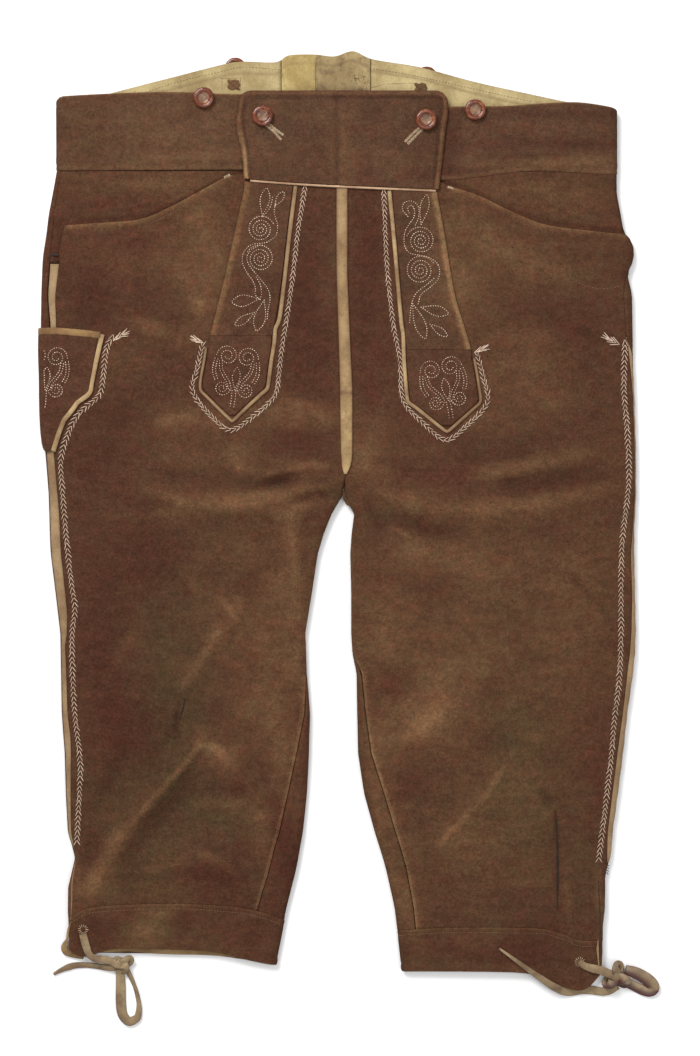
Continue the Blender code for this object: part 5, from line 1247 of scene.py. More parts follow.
# hip piece: level with the waistband and the back's edge, sinking behind the pocket mouth. Its outer corner
# reaches further down, past the mouth's end
def yokePiece(side):
    middle = 262
    outerRun = float(runAt(side, "backStart", middle)) + seamGap
    wall = wallsAt[side][int((middle - sectionLow) / sectionStep)]
    innerRun = float(np.interp(abs(yokeLook["inner"][side]), np.abs(wall.x)[::-1], wall.frontRun[::-1]))
    down, share = np.meshgrid(np.linspace(0, 1, 48), spread(0, innerRun - outerRun, 2.6), indexing="ij")
    nominal = outerRun + (innerRun - outerRun) * share
    x, _ = wallXZ(side, np.full(nominal.shape, middle), nominal)
    mouth = over(frontTop[side], "x", "y", x)
    atCorner = 1 - smooth((nominal - yokeLook["cornerWide"]) / 5)
    behindMouth = np.minimum(mouth, yokeLook["mouth"]) - yokeLook["lap"]
    foot = behindMouth * (1 - atCorner) + yokeLook["corner"][side] * atCorner
    y = yokeLook["top"] + (foot - yokeLook["top"]) * down
    start = runAt(side, "backStart", y) + seamGap
    start = np.where(y < 244, np.maximum(start, outerRun), start) if side == "left" else start
    run = start + (innerRun - start) * share
    below = smooth((yokeLook["bandFoot"] - y) / 1.2)
    nearBand = smooth((y - mouth - 2) / 6)
    nearBack = 1 - smooth((run - start - 1.5) / 6)
    out = level["yoke"] + yokeLook["rise"] * below * np.maximum(nearBand, nearBack) + edgeDrop(run - start, 0.3, 1)
    grid = wallPoint(side, y, run, out)
    tones = tonesAt(grid)
    tones[..., 2] += 0.35 * (1 - nearBand)
    return clothPiece(f"yoke{side.title()}", grid, walls["yoke"], "suede", tones)


# front waistband, with a soft hollow along its foot and a turned top edge
def waistFront(side):
    whole = float(runAt(side, "whole", waistLook["middle"]))
    down = spread(0, 64, 2.6)
    runs = seamGap / 2 + (whole - seamGap) * spread(0, whole, 2.8)
    down, runs = np.meshgrid(down, runs, indexing="ij")
    x, _ = wallXZ(side, np.full(runs.shape, waistLook["middle"]), runs)
    top, bottom = over(frontWaistTop[side], "x", "y", x), over(frontWaistBottom[side], "x", "y", x)
    y = top + (bottom - top) * down
    fromTop, fromFoot = top - y, y - bottom
    out = level["waist"] + edgeDrop(fromTop, 0.5, 1.8) + edgeDrop(fromFoot, 0.4, 1.6)
    out = out - 0.3 * hump(fromFoot, 4.4, 1.3) + 0.25 * hump(fromFoot, 7.5, 3)
    out = out - 0.2 * hump(fromTop, 5, 1.2) * (np.abs(x) > 88)
    grid = wallPoint(side, y, runs * runAt(side, "whole", y) / whole, out)
    tones = tonesAt(grid)
    tones = edgeTone(tones, fromTop, 0.9, waistLook["topWear"])
    tones = edgeTone(tones, np.abs(fromFoot - 1.8), 1.1, waistLook["footWear"])
    return clothPiece(f"waistFront{side.title()}", grid, walls["waist"], "band", tones)


def backPoint(side, x, part):
    top = over(backWaistTop, "x", "y", x)
    y = top + (over(backWaistBottom[side], "x", "y", x) - top) * part
    return asPoints(x, y, backLift(x, y) + walls["backWaist"] / 2)


# outer back waistband round the side fold, and its facing on the inside
def waistBack(side):
    part = np.concatenate([np.linspace(0, 0.3, 22), np.linspace(0.3, 1, 16)[1:]])
    runs = np.array([-seamGap / 2, -0.9, -1.8, -3, -4.4, -6, -8, -10, -12])
    out = -(walls["backWaist"] - walls["suede"]) / 2
    middle = np.full(runs.shape, waistLook["middle"])
    aroundX, _ = wallXZ(side, middle, runs)
    top = over(backWaistTop, "x", "y", aroundX)
    y = top + (over(backWaistBottom[side], "x", "y", aroundX) - top) * part[:, None]
    round_ = wallPoint(side, y, np.broadcast_to(runs, y.shape), out)
    columns = backColumns[side]
    flatX = np.linspace(columns[0], columns[-1], 60)
    flat = backPoint(side, *np.broadcast_arrays(flatX, part[:, None]))
    band = np.concatenate([round_, flat], axis=1)
    tones = tonesAt(band) * 0.5
    outer = clothPiece(f"waistBack{side.title()}", band, walls["backWaist"], "band", tones)
    facingX = np.linspace(columns[0], columns[-2], 76)
    inside = backPoint(side, *np.broadcast_arrays(facingX, part[:, None]))
    fromTop = inside[:1, :, 1] - inside[..., 1]
    inside[..., 2] += level["facing"] + 0.22 * hump(fromTop, 1.6, 1.6) - 0.22 * hump(fromTop, 9.4, 0.9)
    ripple = np.sin(inside[..., 0] / 2.9 + 1.3 * np.sin(inside[..., 1] / 17))
    inside[..., 2] += 0.16 * ripple * smooth((fromTop - 9) / 4)
    inside[0, :, 1] -= 0.3
    darkening = darkeningTones(0.55 * hump(fromTop, 10.2, 1.4) + 0.3 * hump(fromTop, 0, 1.2), inside.shape[:2])
    darkening[..., 0] += 0.45 * smooth((fromTop - 24) / 12)
    facing = clothPiece(f"facing{side.title()}", inside, walls["facing"], "facing", darkening)
    return outer, facing


def gussetPiece(name, side, columns, paint, gathers):
    part = np.concatenate([np.linspace(0, 0.35, 30), np.linspace(0.35, 1, 18)[1:]])
    x = np.linspace(columns[0], columns[-1], round(abs(columns[-1] - columns[0]) / 0.8))
    grid = backPoint(side, *np.broadcast_arrays(x, part[:, None]))
    fromTop = grid[:1, :, 1] - grid[..., 1]
    ripple = gathers * np.sin(grid[..., 0] / 1.25 + 1.6 * np.sin(grid[..., 1] / 12)) * smooth((fromTop - 6) / 8)
    grid[..., 2] += level["facing"] + ripple + 0.2 * hump(fromTop, 2.2, 1.8)
    grid[0, :, 1] -= 0.3
    darkening = darkeningTones(0.35 * (gathers > 0.25) + 0.5 * smooth((fromTop - 22) / 14) + 0.3 * hump(fromTop, 8, 1.4),
        grid.shape[:2])
    return clothPiece(name, grid, walls["facing"], paint, darkening)


yokes = {side: yokePiece(side) for side in sides}
waistFronts = {side: waistFront(side) for side in sides}
waistBacks = {side: waistBack(side) for side in sides}
gussets = {
    "right": gussetPiece("gussetRight", "right", gussetX["right"], "gussetWarm", 0.22),
    "left": gussetPiece("gussetLeft", "left", gussetX["left"], "gussetGrey", 0.32),
}

flapLook = {"top": 364.2, "wide": 176, "tall": 82, "corner": 10, "seam": -0.5, "pipingDrop": 1.85}
beadHalf = 1.85  # half the width of the piping's bead at its widest


# the flap's waistband, its rounded edge rolled all round above a stitched line
def flapSheet():
    tall, seam = flapLook["tall"], flapLook["seam"]
    down, across = np.meshgrid(spread(0, tall, 2.2), spread(0, flapLook["wide"], 2.2), indexing="ij")
    fromSide = np.minimum(across, 1 - across) * flapLook["wide"]
    reach = np.maximum(flapLook["corner"] - fromSide, 0)
    corner = flapLook["corner"] - np.sqrt(flapLook["corner"] ** 2 - reach**2)
    roughY = flapLook["top"] - tall * down
    left, right = over(flapSides, "y", "left", roughY), over(flapSides, "y", "right", roughY)
    x = left + (right - left) * across
    top = flapLook["top"] - corner
    y = top + (over(flapBottom, "x", "y", x) - top) * down
    fromTop = top - y
    rim = np.minimum(fromSide, fromTop)
    z = frontLevel(x, y) + level["flap"]
    z = z + 0.55 * hump(rim, 2.2, 1.6) - 0.3 * hump(rim, 6.2, 1.1) + edgeDrop(rim, 0.6, 1.2)
    z = z - 0.75 * hump(x, seam, 2.2) * smooth(fromTop / 8) + 0.35 * hump(np.abs(x - seam), 5, 4)
    tones = sample(toneMap, x, y)
    lowLeft = (x < 0) * smooth((fromTop - 12) / 50)
    # paler along the rim, most on the lower left; the darker line where the rim slopes into the groove inside it is
    # painted shade
    tones[..., 0] += hump(rim, 2, 2) * (0.34 + 1.15 * lowLeft * (fromSide < 12)) - 0.7 * hump(rim, 5, 0.9)
    tones[..., 2] += 0.35 * hump(rim, 2, 2.2)
    tones[..., 0] += 0.3 * (x > 0) * hump(fromSide, 2.2, 2)
    # darker along the centre seam's groove: painted shade
    tones[..., 0] -= 0.3 * hump(x, seam, 2) * smooth(fromTop / 8)
    tones[..., 0] += 0.16 * hump(x, 6, 8) * smooth((fromTop - 14) / 12)
    grid = asPoints(x, y, z)
    return clothPiece("flapBand", grid, walls["flap"], "band", tones)


def flapPipingPiece():
    left, right = over(flapSides, "y", "left", 285), over(flapSides, "y", "right", 279)
    x = np.linspace(left + 5, right - 1.5, 90)
    drop = np.linspace(edgeGap, flapLook["pipingDrop"], 5)
    x, drop = np.meshgrid(x, drop)
    y = over(flapBottom, "x", "y", x) - drop
    crown = 0.35 * np.sin((drop - edgeGap) / (flapLook["pipingDrop"] - edgeGap) * pi)
    grid = asPoints(x, y, frontLevel(x, y) + level["flap"] - 0.2 + crown)
    darkening = darkeningTones(0.08 + 0.35 * (np.sin(x / 7) > 0.75), grid.shape[:2])
    return clothPiece("flapPiping", grid, walls["cream"], "flapEdge", darkening)


stripLook = {  # along and across, about how long and wide the pieces are, and how fine their grids
    "long": 124, "wide": 46, "tongueLong": 62, "alongStep": 2.2, "acrossStep": 1.8,
    "roll": 0.75, "rimWear": {"right": 0.8, "left": 1.15}, "red": {"right": 0.18, "left": 0}, "tongueRed": 0.3,
}


def stripPiece(side):
    sign = signOf(side)
    rows = strips[side]
    foot = rows[-1].y
    down = spread(0, stripLook["long"], stripLook["alongStep"])
    down, part = np.meshgrid(down, spread(0, stripLook["wide"], stripLook["acrossStep"]), indexing="ij")
    headX = rows[0].outer + (rows[0].inner - rows[0].outer) * part
    head = over(flapBottom, "x", "y", headX) - flapLook["pipingDrop"] - edgeGap
    y = head + (foot - head) * down
    outer = over(rows, "y", "outer", y)
    inner = over(rows, "y", "inner", y) + sign * (beadHalf + edgeGap)
    x = outer + (inner - outer) * part
    fromOuter = np.abs(x - outer)
    z = frontLevel(x, y) + level["strip"] + stripLook["roll"] * hump(fromOuter, 2.2, 2) + edgeDrop(fromOuter, 0.5, 1)
    z = z - 0.25 * hump(fromOuter, 6.6, 1)
    tones = sample(toneMap, x, y) * 0.3
    tones = edgeTone(tones, np.maximum(fromOuter - 2.8, 0), 1.9, stripLook["rimWear"][side])
    tones = edgeTone(tones, fromOuter - 8, 3.4, 0.1)
    tones[..., 2] += stripLook["red"][side]
    return clothPiece(f"placket{side.title()}", asPoints(x, y, z), walls["strip"], "strip", tones)


def tonguePiece(side):
    sign = signOf(side)
    line = tongues[side]
    tip = min(range(len(line)), key=lambda i: line[i].y)
    inner, outer = line[: tip + 1], line[tip:]
    inset = beadHalf + edgeGap
    top, foot = strips[side][-1].y - 0.12, line[tip].y + inset * 2.2
    step = stripLook["acrossStep"]
    down = top + (foot - top) * spread(0, stripLook["tongueLong"], step)
    y, part = np.meshgrid(down, spread(0, stripLook["wide"], step), indexing="ij")
    slant = 1 + 0.42 * smooth((inner[3].y + 3 - y) / 6)
    fromX = over(inner, "y", "x", y) + sign * inset * slant
    toX = over(outer, "y", "x", y) - sign * inset * slant
    x = fromX + (toX - fromX) * part
    away = np.minimum(np.abs(x - fromX), np.abs(toX - x))
    z = frontLevel(x, y) + level["strip"] + edgeDrop(away, 0.4, 1.2) + 0.25 * smooth(away / 9)
    tones = sample(toneMap, x, y) * 0.3
    tones[..., 2] += stripLook["tongueRed"]
    return clothPiece(f"tongue{side.title()}", asPoints(x, y, z), walls["strip"], "strip", tones)


beadSection = [
    (-1, 0), (-0.94, 0.42), (-0.7, 0.8), (-0.3, 0.98), (0, 1.02), (0.3, 0.98), (0.7, 0.8), (0.94, 0.42), (1, 0),
]


# a rounded bead along a route on the front, its width changing along it
def beadPiece(name, route, widths, height, base, darkening):
    route = along(route, 1.6)
    steps = np.linspace(0, 1, len(route))
    wide = changing(steps, widths) / 2
    dirty = changing(steps, darkening)
    ahead = unit(np.gradient(route, axis=0))
    points, tones = [], []
    for k, (x, y) in enumerate(route):
        side = np.array([ahead[k][1], -ahead[k][0]])
        for u, v in beadSection:
            px, py = x + side[0] * u * wide[k], y + side[1] * u * wide[k]
            points.append((px, py, float(frontLevel(px, py)) + base + v * height * (0.92 + 0.08 * sin(k * 1.9))))
            # the two rings at the bead's foot on each side are darker
            tones.append((dirty[k] + 0.5 * (abs(u) > 0.9), 0, 0))
    around = len(beadSection)
    faces = [(a, d, c, b) for a, b, c, d in tubeFaces(len(route), around)]
    faces += [range(around)[::-1], range(len(points) - around, len(points))]
    return meshPiece(name, points, faces, "piping", tones)


# pale strip down the centre seam, joined across once, ending in a point
def centrePiece():
    y = np.concatenate([np.linspace(282.2, 112, 60), np.linspace(111, 39.5, 30)])
    wide = np.interp(y, centreStripRows[::-1], centreStripHalf[::-1])
    across = np.array([-1, -0.8, -0.4, 0, 0.4, 0.8, 1])
    centre = over(centreLine, "y", "x", y)
    x = centre[:, None] + wide[:, None] * across
    lift = np.maximum(frontLevel(centre - 1.5, y), frontLevel(centre + 1.5, y)) + level["centre"]
    z = lift[:, None] - 0.35 * np.abs(across) ** 3 + 0.25 * hump(y, 110, 1.2)[:, None]
    grid = asPoints(x, np.broadcast_to(y[:, None], x.shape), z)
    darkening = darkeningTones(0.05 + 0.6 * np.abs(across) ** 4 + 0.6 * hump(y, 108, 2)[:, None]
        + 0.34 * smooth((y - 106) / 12)[:, None], grid.shape[:2])
    return clothPiece("centreStrip", grid, walls["cream"], "centreStrip", darkening)


flap = flapSheet()
flapEdge = flapPipingPiece()
placketPieces = {side: stripPiece(side) for side in sides}
tonguePieces = {side: tonguePiece(side) for side in sides}
beadSoil = {"right": (0.5, 0.45, 0.3, 0.2, 0.2, 0.3, 0.5, 0.55, 0.6),
    "left": (0, 0, 0, 0.05, 0.1, 0.25, 0.45, 0.55, 0.6)}
beads = {
    side: beadPiece(
        f"piping{side.title()}", [(row.x, row.y) for row in pipingTop[side] + tongues[side]],
        (3.7, 3.8, 3.6, 3.7, 3.6, 3.4, 3, 2.7, 2.4), 1.55, half + layGap, beadSoil[side],
    )
    for side in sides
}
centreBand = centrePiece()
print("waist, flap and strips done")

pocketLook = {"band": 5.5, "piping": 3.5, "gap": 0.3}


def topLine(run):
    return np.interp(run, *zip(*sorted(pocketTop)))


def knifePocketPieces():
    part, column = np.meshgrid(np.linspace(0, 1, 34), np.linspace(0, len(knifePocket) - 1, 70), indexing="ij")
    spots = np.arange(len(knifePocket))
    topRun = np.interp(column, spots, [row.topRun for row in knifePocket])
    footRun = np.interp(column, spots, [row.footRun for row in knifePocket])
    foot = np.interp(column, spots, [row.foot for row in knifePocket])
    upper = topLine(topRun)
    y = upper + (foot - upper) * part
    run = topRun + (footRun - topRun) * part
    fromTop = upper - y
    buckle = 0.25 * np.sin(fromTop / 9 + run / 14) * smooth(fromTop / 10) * smooth((y - foot) / 12)
    out = level["pocket"] + edgeDrop(y - foot, 0.4, 1.4) + buckle
    grid = wallPoint("right", y, run, out)
    grid[..., 2] = np.maximum(grid[..., 2], walls["pocket"] / 2 + 0.02)
    tones = tonesAt(grid) * 0.4
    tones[..., 2] += 0.3
    tones = edgeTone(tones, y - foot, 3, 0.25)
    pocket = clothPiece("knifePocket", grid, walls["pocket"], "strip", tones)

    gap, band, edgeWide = pocketLook["gap"], pocketLook["band"], pocketLook["piping"]
    rise, column = np.meshgrid(np.linspace(gap, gap + band, 13), column[0], indexing="ij")
    run = np.interp(column, spots, [row.topRun for row in knifePocket]) + 1.6 * (1 - smooth(column))
    y = topLine(run) + rise
    crown = 0.55 * np.sin((rise - gap) / band * pi) * smooth((run + 1) / 4)
    darkening = darkeningTones(0.75 * hump(rise, gap, 0.9) - hump(rise - band, -gap, 0.7), run.shape)
    darkening[..., 0] += 0.35 * np.sin(run / 5.2) * np.sin(run / 2.1)
    binding = clothPiece("knifePocketBinding", wallPoint("right", y, run, level["pocket"] - 0.1 + crown),
        walls["pocket"], "binding", darkening)

    edge = along(pocketEdge, 2)
    ahead = unit(np.gradient(edge, axis=0))
    away = np.linspace(gap, gap + edgeWide, 9)
    run = edge[:, :1] - ahead[:, 1:] * away
    y = edge[:, 1:] + ahead[:, :1] * away
    crown = 0.6 * np.sin((away - gap) / edgeWide * pi)
    darkening = darkeningTones(0.02 + 0.35 * np.linspace(-1, 1, 9) ** 6 + 0.15 * np.sin(y / 6), run.shape)
    piping = clothPiece("knifePocketPiping", wallPoint("right", y, run, level["pocket"] - 0.2 + crown),
        walls["pocket"] - 0.2, "piping", darkening)
    return pocket, binding, piping


cuffLook = {
    "tall": 40, "backWide": 230, "rowStep": 2.4, "frontStep": 3.2, "backStep": 4, "hemWear": 0.35, "topWear": 0.25,
}


# knee band: one length round the leg, open at the outer side
def cuffPiece(side):
    seamY = legLook["bottom"]
    share = spread(0, legLook["outerWide"], cuffLook["frontStep"])
    inner = spread(0, legLook["innerWide"], cuffLook["frontStep"])[1:]
    backShare = spread(0, cuffLook["backWide"], cuffLook["backStep"])
    kinds = [("front", value, 0) for value in share] + [("front", value, 1) for value in inner]
    kinds += [("back", value, 0) for value in backShare[::-1][1:]]

    def runOf(kind, y):
        which, value, part = kind
        if which == "front":
            return frontRunAt(side, y, value, part)
        start = runAt(side, "backStart", y)
        wrap = np.maximum(runAt(side, "whole", y) - runAt(side, "inseam", y), 0)
        end = -(runAt(side, "under", y) + wrap) + inseamGap(y) / 2
        return start + (end - start) * value

    down = spread(0, cuffLook["tall"], cuffLook["rowStep"])
    columns = []
    for kind in kinds:
        seamRun = float(runOf(kind, seamY))
        x = float(wallXZ(side, seamY, seamRun)[0])
        onFront = kind[0] == "front" or -seamRun > float(runAt(side, "under", seamY))
        hem = over(hemFront[side] if onFront else hemBack[side], "x", "y", x)
        top = float(over(cuffSeam[side], "x", "y", x))
        y = top + (hem - top) * down
        fromTop, fromHem = top - y, y - hem
        out = edgeDrop(fromTop, 0.35, 1.2) + edgeDrop(fromHem, 0.45, 1.6) - 0.3 * hump(fromTop, 3.6, 0.9)
        out = out - 0.35 * hump(fromHem, 6.4, 1.1) + 0.35 * hump(fromHem, 3, 1.8)
        points = wallPoint(side, y, runOf(kind, y), out)
        points[:, 2] = np.maximum(points[:, 2], walls["cuff"] / 2 + 0.01)
        tone = tonesAt(points)
        tone[:, 0] += cuffLook["hemWear"] * hump(fromHem, 0, 1.6) + cuffLook["topWear"] * hump(fromTop, 0, 1.4)
        columns.append((points, tone if onFront else tone * 0.5))
    grid, tones = (np.stack(parts, axis=1) for parts in zip(*columns))
    return clothPiece(f"kneeBand{side.title()}", grid, walls["cuff"], "suede", tones)


knife = knifePocketPieces()
cuffs = {side: cuffPiece(side) for side in sides}
print("pocket and knee bands done")

buttonLook = {
    "ring": [
        (0, 0), (5.5, 0), (7.4, 0.3), (8.5, 1), (9, 2.1), (8.85, 3.1), (8.35, 3.85), (7.6, 4.25), (6.8, 4.3),
        (6, 4.15), (5.3, 3.7), (4.7, 3.15), (3.9, 2.8), (2, 2.62), (0, 2.6),
    ],
    "segments": 56,
}
Button = namedtuple("Button", "node piece x y tilt turn")
buttons = rowsOf(Button, [
    ("button_flap_right", "buttonFlapRight", -63.8, 343, 2, 200),
    ("button_flap_left", "buttonFlapLeft", 74.8, 339.8, 2.5, 340),
    ("button_waist_right", "buttonWaistRight", -113.9, 358.6, 1.5, 80),
    ("button_waist_left", "buttonWaistLeft", 116.5, 348.4, 2, 120),
    ("button_back_right", "buttonBackRight", -87.5, 386, 0, 0),
    ("button_back_left", "buttonBackLeft", 75.6, 378.4, 0, 0),
])


def buttonPiece(row):
    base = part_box(row.node)[0][2] / mm
    ring, count = buttonLook["ring"], buttonLook["segments"]
    points, tones = [], []
    for r, z in ring:
        for k in range(count):
            a = 2 * pi * k / count
            wobble = 1 + 0.008 * sin(3 * a + row.turn) + 0.005 * sin(7 * a)
            lean = sin(radians(row.tilt)) * r * cos(a - radians(row.turn))
            points.append((row.x + r * wobble * cos(a), row.y + r * wobble * sin(a), base + z + max(lean, 0) * 0.6))
            tones.append((smooth((5.2 - r) / 1) * (z > 2), 0, 0))
    obj = meshPiece(row.piece, points, tubeFaces(len(ring), count), "button", tones)
    body = bmesh.new()
    body.from_mesh(obj.data)
    bmesh.ops.remove_doubles(body, verts=body.verts, dist=2e-6)
    bmesh.ops.recalc_face_normals(body, faces=body.faces)
    body.to_mesh(obj.data)
    body.free()
    declare(obj, [row.node])


for row in buttons:
    buttonPiece(row)

tabLook = {"wide": 9.4, "tall": 7.6}
tabs = {"button_patch_right": ("backTabRight", -88.6, 370.6), "button_patch_left": ("backTabLeft", 70.4, 367.8)}
for node, (name, x, y) in tabs.items():
    dx, dy = np.meshgrid(np.linspace(-0.5, 0.5, 19) * tabLook["wide"], np.linspace(0.5, -0.5, 15) * tabLook["tall"])
    rim = np.minimum(tabLook["wide"] / 2 - np.abs(dx), tabLook["tall"] / 2 - np.abs(dy))
    z = backLift(x + dx, y + dy) + walls["backWaist"] + layGap + walls["facing"] + layGap
    z = z + 0.5 + edgeDrop(rim, 0.25, 1)
    tones = darkeningTones(0.62 + 0.35 * np.sin(dx * 1.1 + 2) * np.sin(dy * 1.4), dx.shape)
    dx = dx + 0.5 * np.sin(dy * 1.3 + 1) * np.abs(dx) / 4
    dy = dy + 0.45 * np.sin(dx * 1.1) * np.abs(dy) / 4
    declare(clothPiece(name, asPoints(x + dx, y + dy, z), 1, "strip", tones), [node])
print("buttons done")

# Geometry Nodes group: one stitch repeated along guide lines, turned to the line and to the surface
def stitchGroup():
    group = bpy.data.node_groups.new("stitchesAlongLines", "GeometryNodeTree")
    face, ids = group.interface, {}
    for label, kind in (
        ("Guide", "Geometry"), ("Stitch", "Object"), ("Pitch", "Float"), ("Uneven", "Float"), ("Turn", "Float"),
        ("Seed", "Int"), ("Paint", "Material"),
    ):
        ids[label] = face.new_socket(label, in_out="INPUT", socket_type=f"NodeSocket{kind}").identifier
    face.new_socket("Stitches", in_out="OUTPUT", socket_type="NodeSocketGeometry")

    def new(kind, **settings):
        node = group.nodes.new(kind)
        for label, value in settings.items():
            setattr(node, label, value)
        return node

    def wire(before, output, after, socket):
        group.links.new(before.outputs[output], after.inputs[socket])

    start, end = new("NodeGroupInput"), new("NodeGroupOutput")
    toCurve, toPoints = new("GeometryNodeMeshToCurve"), new("GeometryNodeCurveToPoints", mode="LENGTH")
    wire(start, "Guide", toCurve, "Mesh")
    wire(toCurve, "Curve", toPoints, "Curve")
    wire(start, "Pitch", toPoints, "Length")
    turned = None
    for name, axis, pivot in (("ahead", "X", "AUTO"), ("up", "Z", "X")):
        read = new("GeometryNodeInputNamedAttribute", data_type="FLOAT_VECTOR")
        align = new("FunctionNodeAlignRotationToVector", axis=axis, pivot_axis=pivot)
        read.inputs["Name"].default_value = name
        wire(read, "Attribute", align, "Vector")
        if turned:
            wire(turned, "Rotation", align, "Rotation")
        turned = align
    less, more = new("ShaderNodeMath", operation="SUBTRACT"), new("ShaderNodeMath", operation="ADD")
    scale = new("FunctionNodeRandomValue", data_type="FLOAT_VECTOR")
    back, turn = new("ShaderNodeMath", operation="MULTIPLY"), new("FunctionNodeRandomValue", data_type="FLOAT")
    pose, rotate = new("ShaderNodeCombineXYZ"), new("FunctionNodeRotateRotation", rotation_space="LOCAL")
    for node, edge in ((less, "Min"), (more, "Max")):
        node.inputs[0].default_value = 1
        wire(start, "Uneven", node, 1)
        wire(node, 0, scale, edge)
    back.inputs[1].default_value = -1
    wire(start, "Turn", back, 0)
    wire(back, 0, turn, "Min")
    wire(start, "Turn", turn, "Max")
    wire(start, "Seed", scale, "Seed")
    wire(start, "Seed", turn, "Seed")
    wire(turn, "Value", pose, "Z")
    wire(turned, "Rotation", rotate, "Rotation")
    wire(pose, "Vector", rotate, "Rotate By")
    info, copies = new("GeometryNodeObjectInfo"), new("GeometryNodeInstanceOnPoints")
    wire(start, "Stitch", info, "Object")
    wire(toPoints, "Points", copies, "Points")
    wire(info, "Geometry", copies, "Instance")
    wire(rotate, "Rotation", copies, "Rotation")
    wire(scale, "Value", copies, "Scale")
    solid, coat = new("GeometryNodeRealizeInstances"), new("GeometryNodeSetMaterial")
    wire(copies, "Instances", solid, "Geometry")
    wire(solid, "Geometry", coat, "Geometry")
    wire(start, "Paint", coat, "Material")
    wire(coat, "Geometry", end, "Stitches")
    return group, ids


stitchNodes, stitchInputs = stitchGroup()


# one short bulging length of thread
def threadLeg(start, end, radius, around=6, rings=4):
    start, end = np.array(start, float), np.array(end, float)
    ahead = (end - start) / np.linalg.norm(end - start)
    side = np.array([-ahead[1], ahead[0], 0])
    points = []
    for t in np.linspace(0, 1, rings):
        fat = radius * (0.45 + 0.55 * sin(pi * (0.12 + 0.76 * t)))
        for k in range(around):
            a = 2 * pi * k / around
            rise = fat * sin(a) * 0.8 + 0.25 * radius * sin(pi * t)
            points.append(start + (end - start) * t + side * fat * cos(a) + np.array([0, 0, 1]) * rise)
    last = (rings - 1) * around
    return points, tubeFaces(rings, around) + [range(around)[::-1], range(last, last + around)]


def stitchObject(name, threads, around=6, rings=4):
    points, faces = [], []
    for start, end, radius in threads:
        more, joined = threadLeg(start, end, radius, around, rings)
        faces += [tuple(i + len(points) for i in face) for face in joined]
        points += more
    obj = meshPiece(name, points, faces, "thread")
    scene.collection.objects.unlink(obj)
    return obj


chevron = stitchObject("chevronStitch",
    [((-2.5, 0.15, 0.2), (2.4, 2.15, 0), 0.36), ((-2.6, -0.15, 0.4), (2.7, -2.1, 0), 0.34)])
wideChevron = stitchObject("wideChevronStitch",
    [((-2.3, 0.2, 0.2), (2.4, 2.5, 0), 0.37), ((-2.4, -0.2, 0.4), (2.6, -2.45, 0), 0.35)])
dash = stitchObject("dashStitch", [((-0.46, 0, 0), (0.46, 0, 0), 0.42)], around=5, rings=3)
fineDash = stitchObject("fineDashStitch", [((-0.75, 0, 0), (0.75, 0, 0), 0.2)], around=5, rings=3)
shortBar = stitchObject("shortBarStitch", [((0, -1.2, 0), (0, 1.2, 0), 0.3)], around=5, rings=3)
prong = stitchObject("prongStitch", [((0, 0, 0.2), (7.4, 0.2, 0), 0.42)], rings=5)


# height of a layer's upper face at x, y
def layer(name):
    upper = {part: level[part] + walls[part] / 2 for part in ("strip", "flap", "waist", "pocket", "yoke")}
    upper.update(front=half, cuff=walls["cuff"] / 2)
    if name == "facing":
        return lambda x, y: backLift(x, y) + walls["backWaist"] / 2 + level["facing"] + walls["facing"] / 2
    return lambda x, y: frontLevel(x, y) + upper[name]


# stitches along lines of x, y points in millimetres, lying on a layer
def sewn(name, lines, surface, stitch, pitch, paint, seed, uneven=0.12, turn=0.12, lift=0.12):
    height = layer(surface)
    points, edges, ahead, up = [], [], [], []
    for line in lines:
        line = np.asarray(line, float)
        x, y = line[:, 0], line[:, 1]
        z = height(x, y) + lift
        slopeX, slopeY = (height(x + 1.5, y) - height(x - 1.5, y)) / 3, (height(x, y + 1.5) - height(x, y - 1.5)) / 3
        normal = unit(asPoints(-slopeX, -slopeY, np.ones(len(x))))
        place3 = asPoints(x, y, z)
        edges += [(len(points) + i, len(points) + i + 1) for i in range(len(line) - 1)]
        points += list(place3)
        ahead += list(np.gradient(place3, axis=0))
        up += list(normal)
    mesh = bpy.data.meshes.new(name)
    mesh.from_pydata((np.array(points) * mm).tolist(), edges, [])
    for label, values in (("ahead", ahead), ("up", up)):
        mesh.attributes.new(label, "FLOAT_VECTOR", "POINT").data.foreach_set("vector",
            np.asarray(values, np.float32).ravel())
    guide = link(bpy.data.objects.new(f"{name}Guide", mesh))
    nodes = guide.modifiers.new("stitches", "NODES")
    nodes.node_group = stitchNodes
    for label, value in (("Stitch", stitch), ("Pitch", pitch * mm), ("Uneven", uneven), ("Turn", turn),
        ("Seed", seed), ("Paint", paints[paint])):
        nodes[stitchInputs[label]] = value
    done = bpy.data.meshes.new_from_object(guide.evaluated_get(bpy.context.evaluated_depsgraph_get()))
    bpy.data.objects.remove(guide, do_unlink=True)
    done.name = name
    obj = link(bpy.data.objects.new(name, done))
    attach(obj, root)
    return obj


braidLook = {"uneven": 0.16, "turn": 0.14, "lift": 0.25}
scrollLook = {"uneven": 0.3, "turn": 0.4, "lift": 0.06}

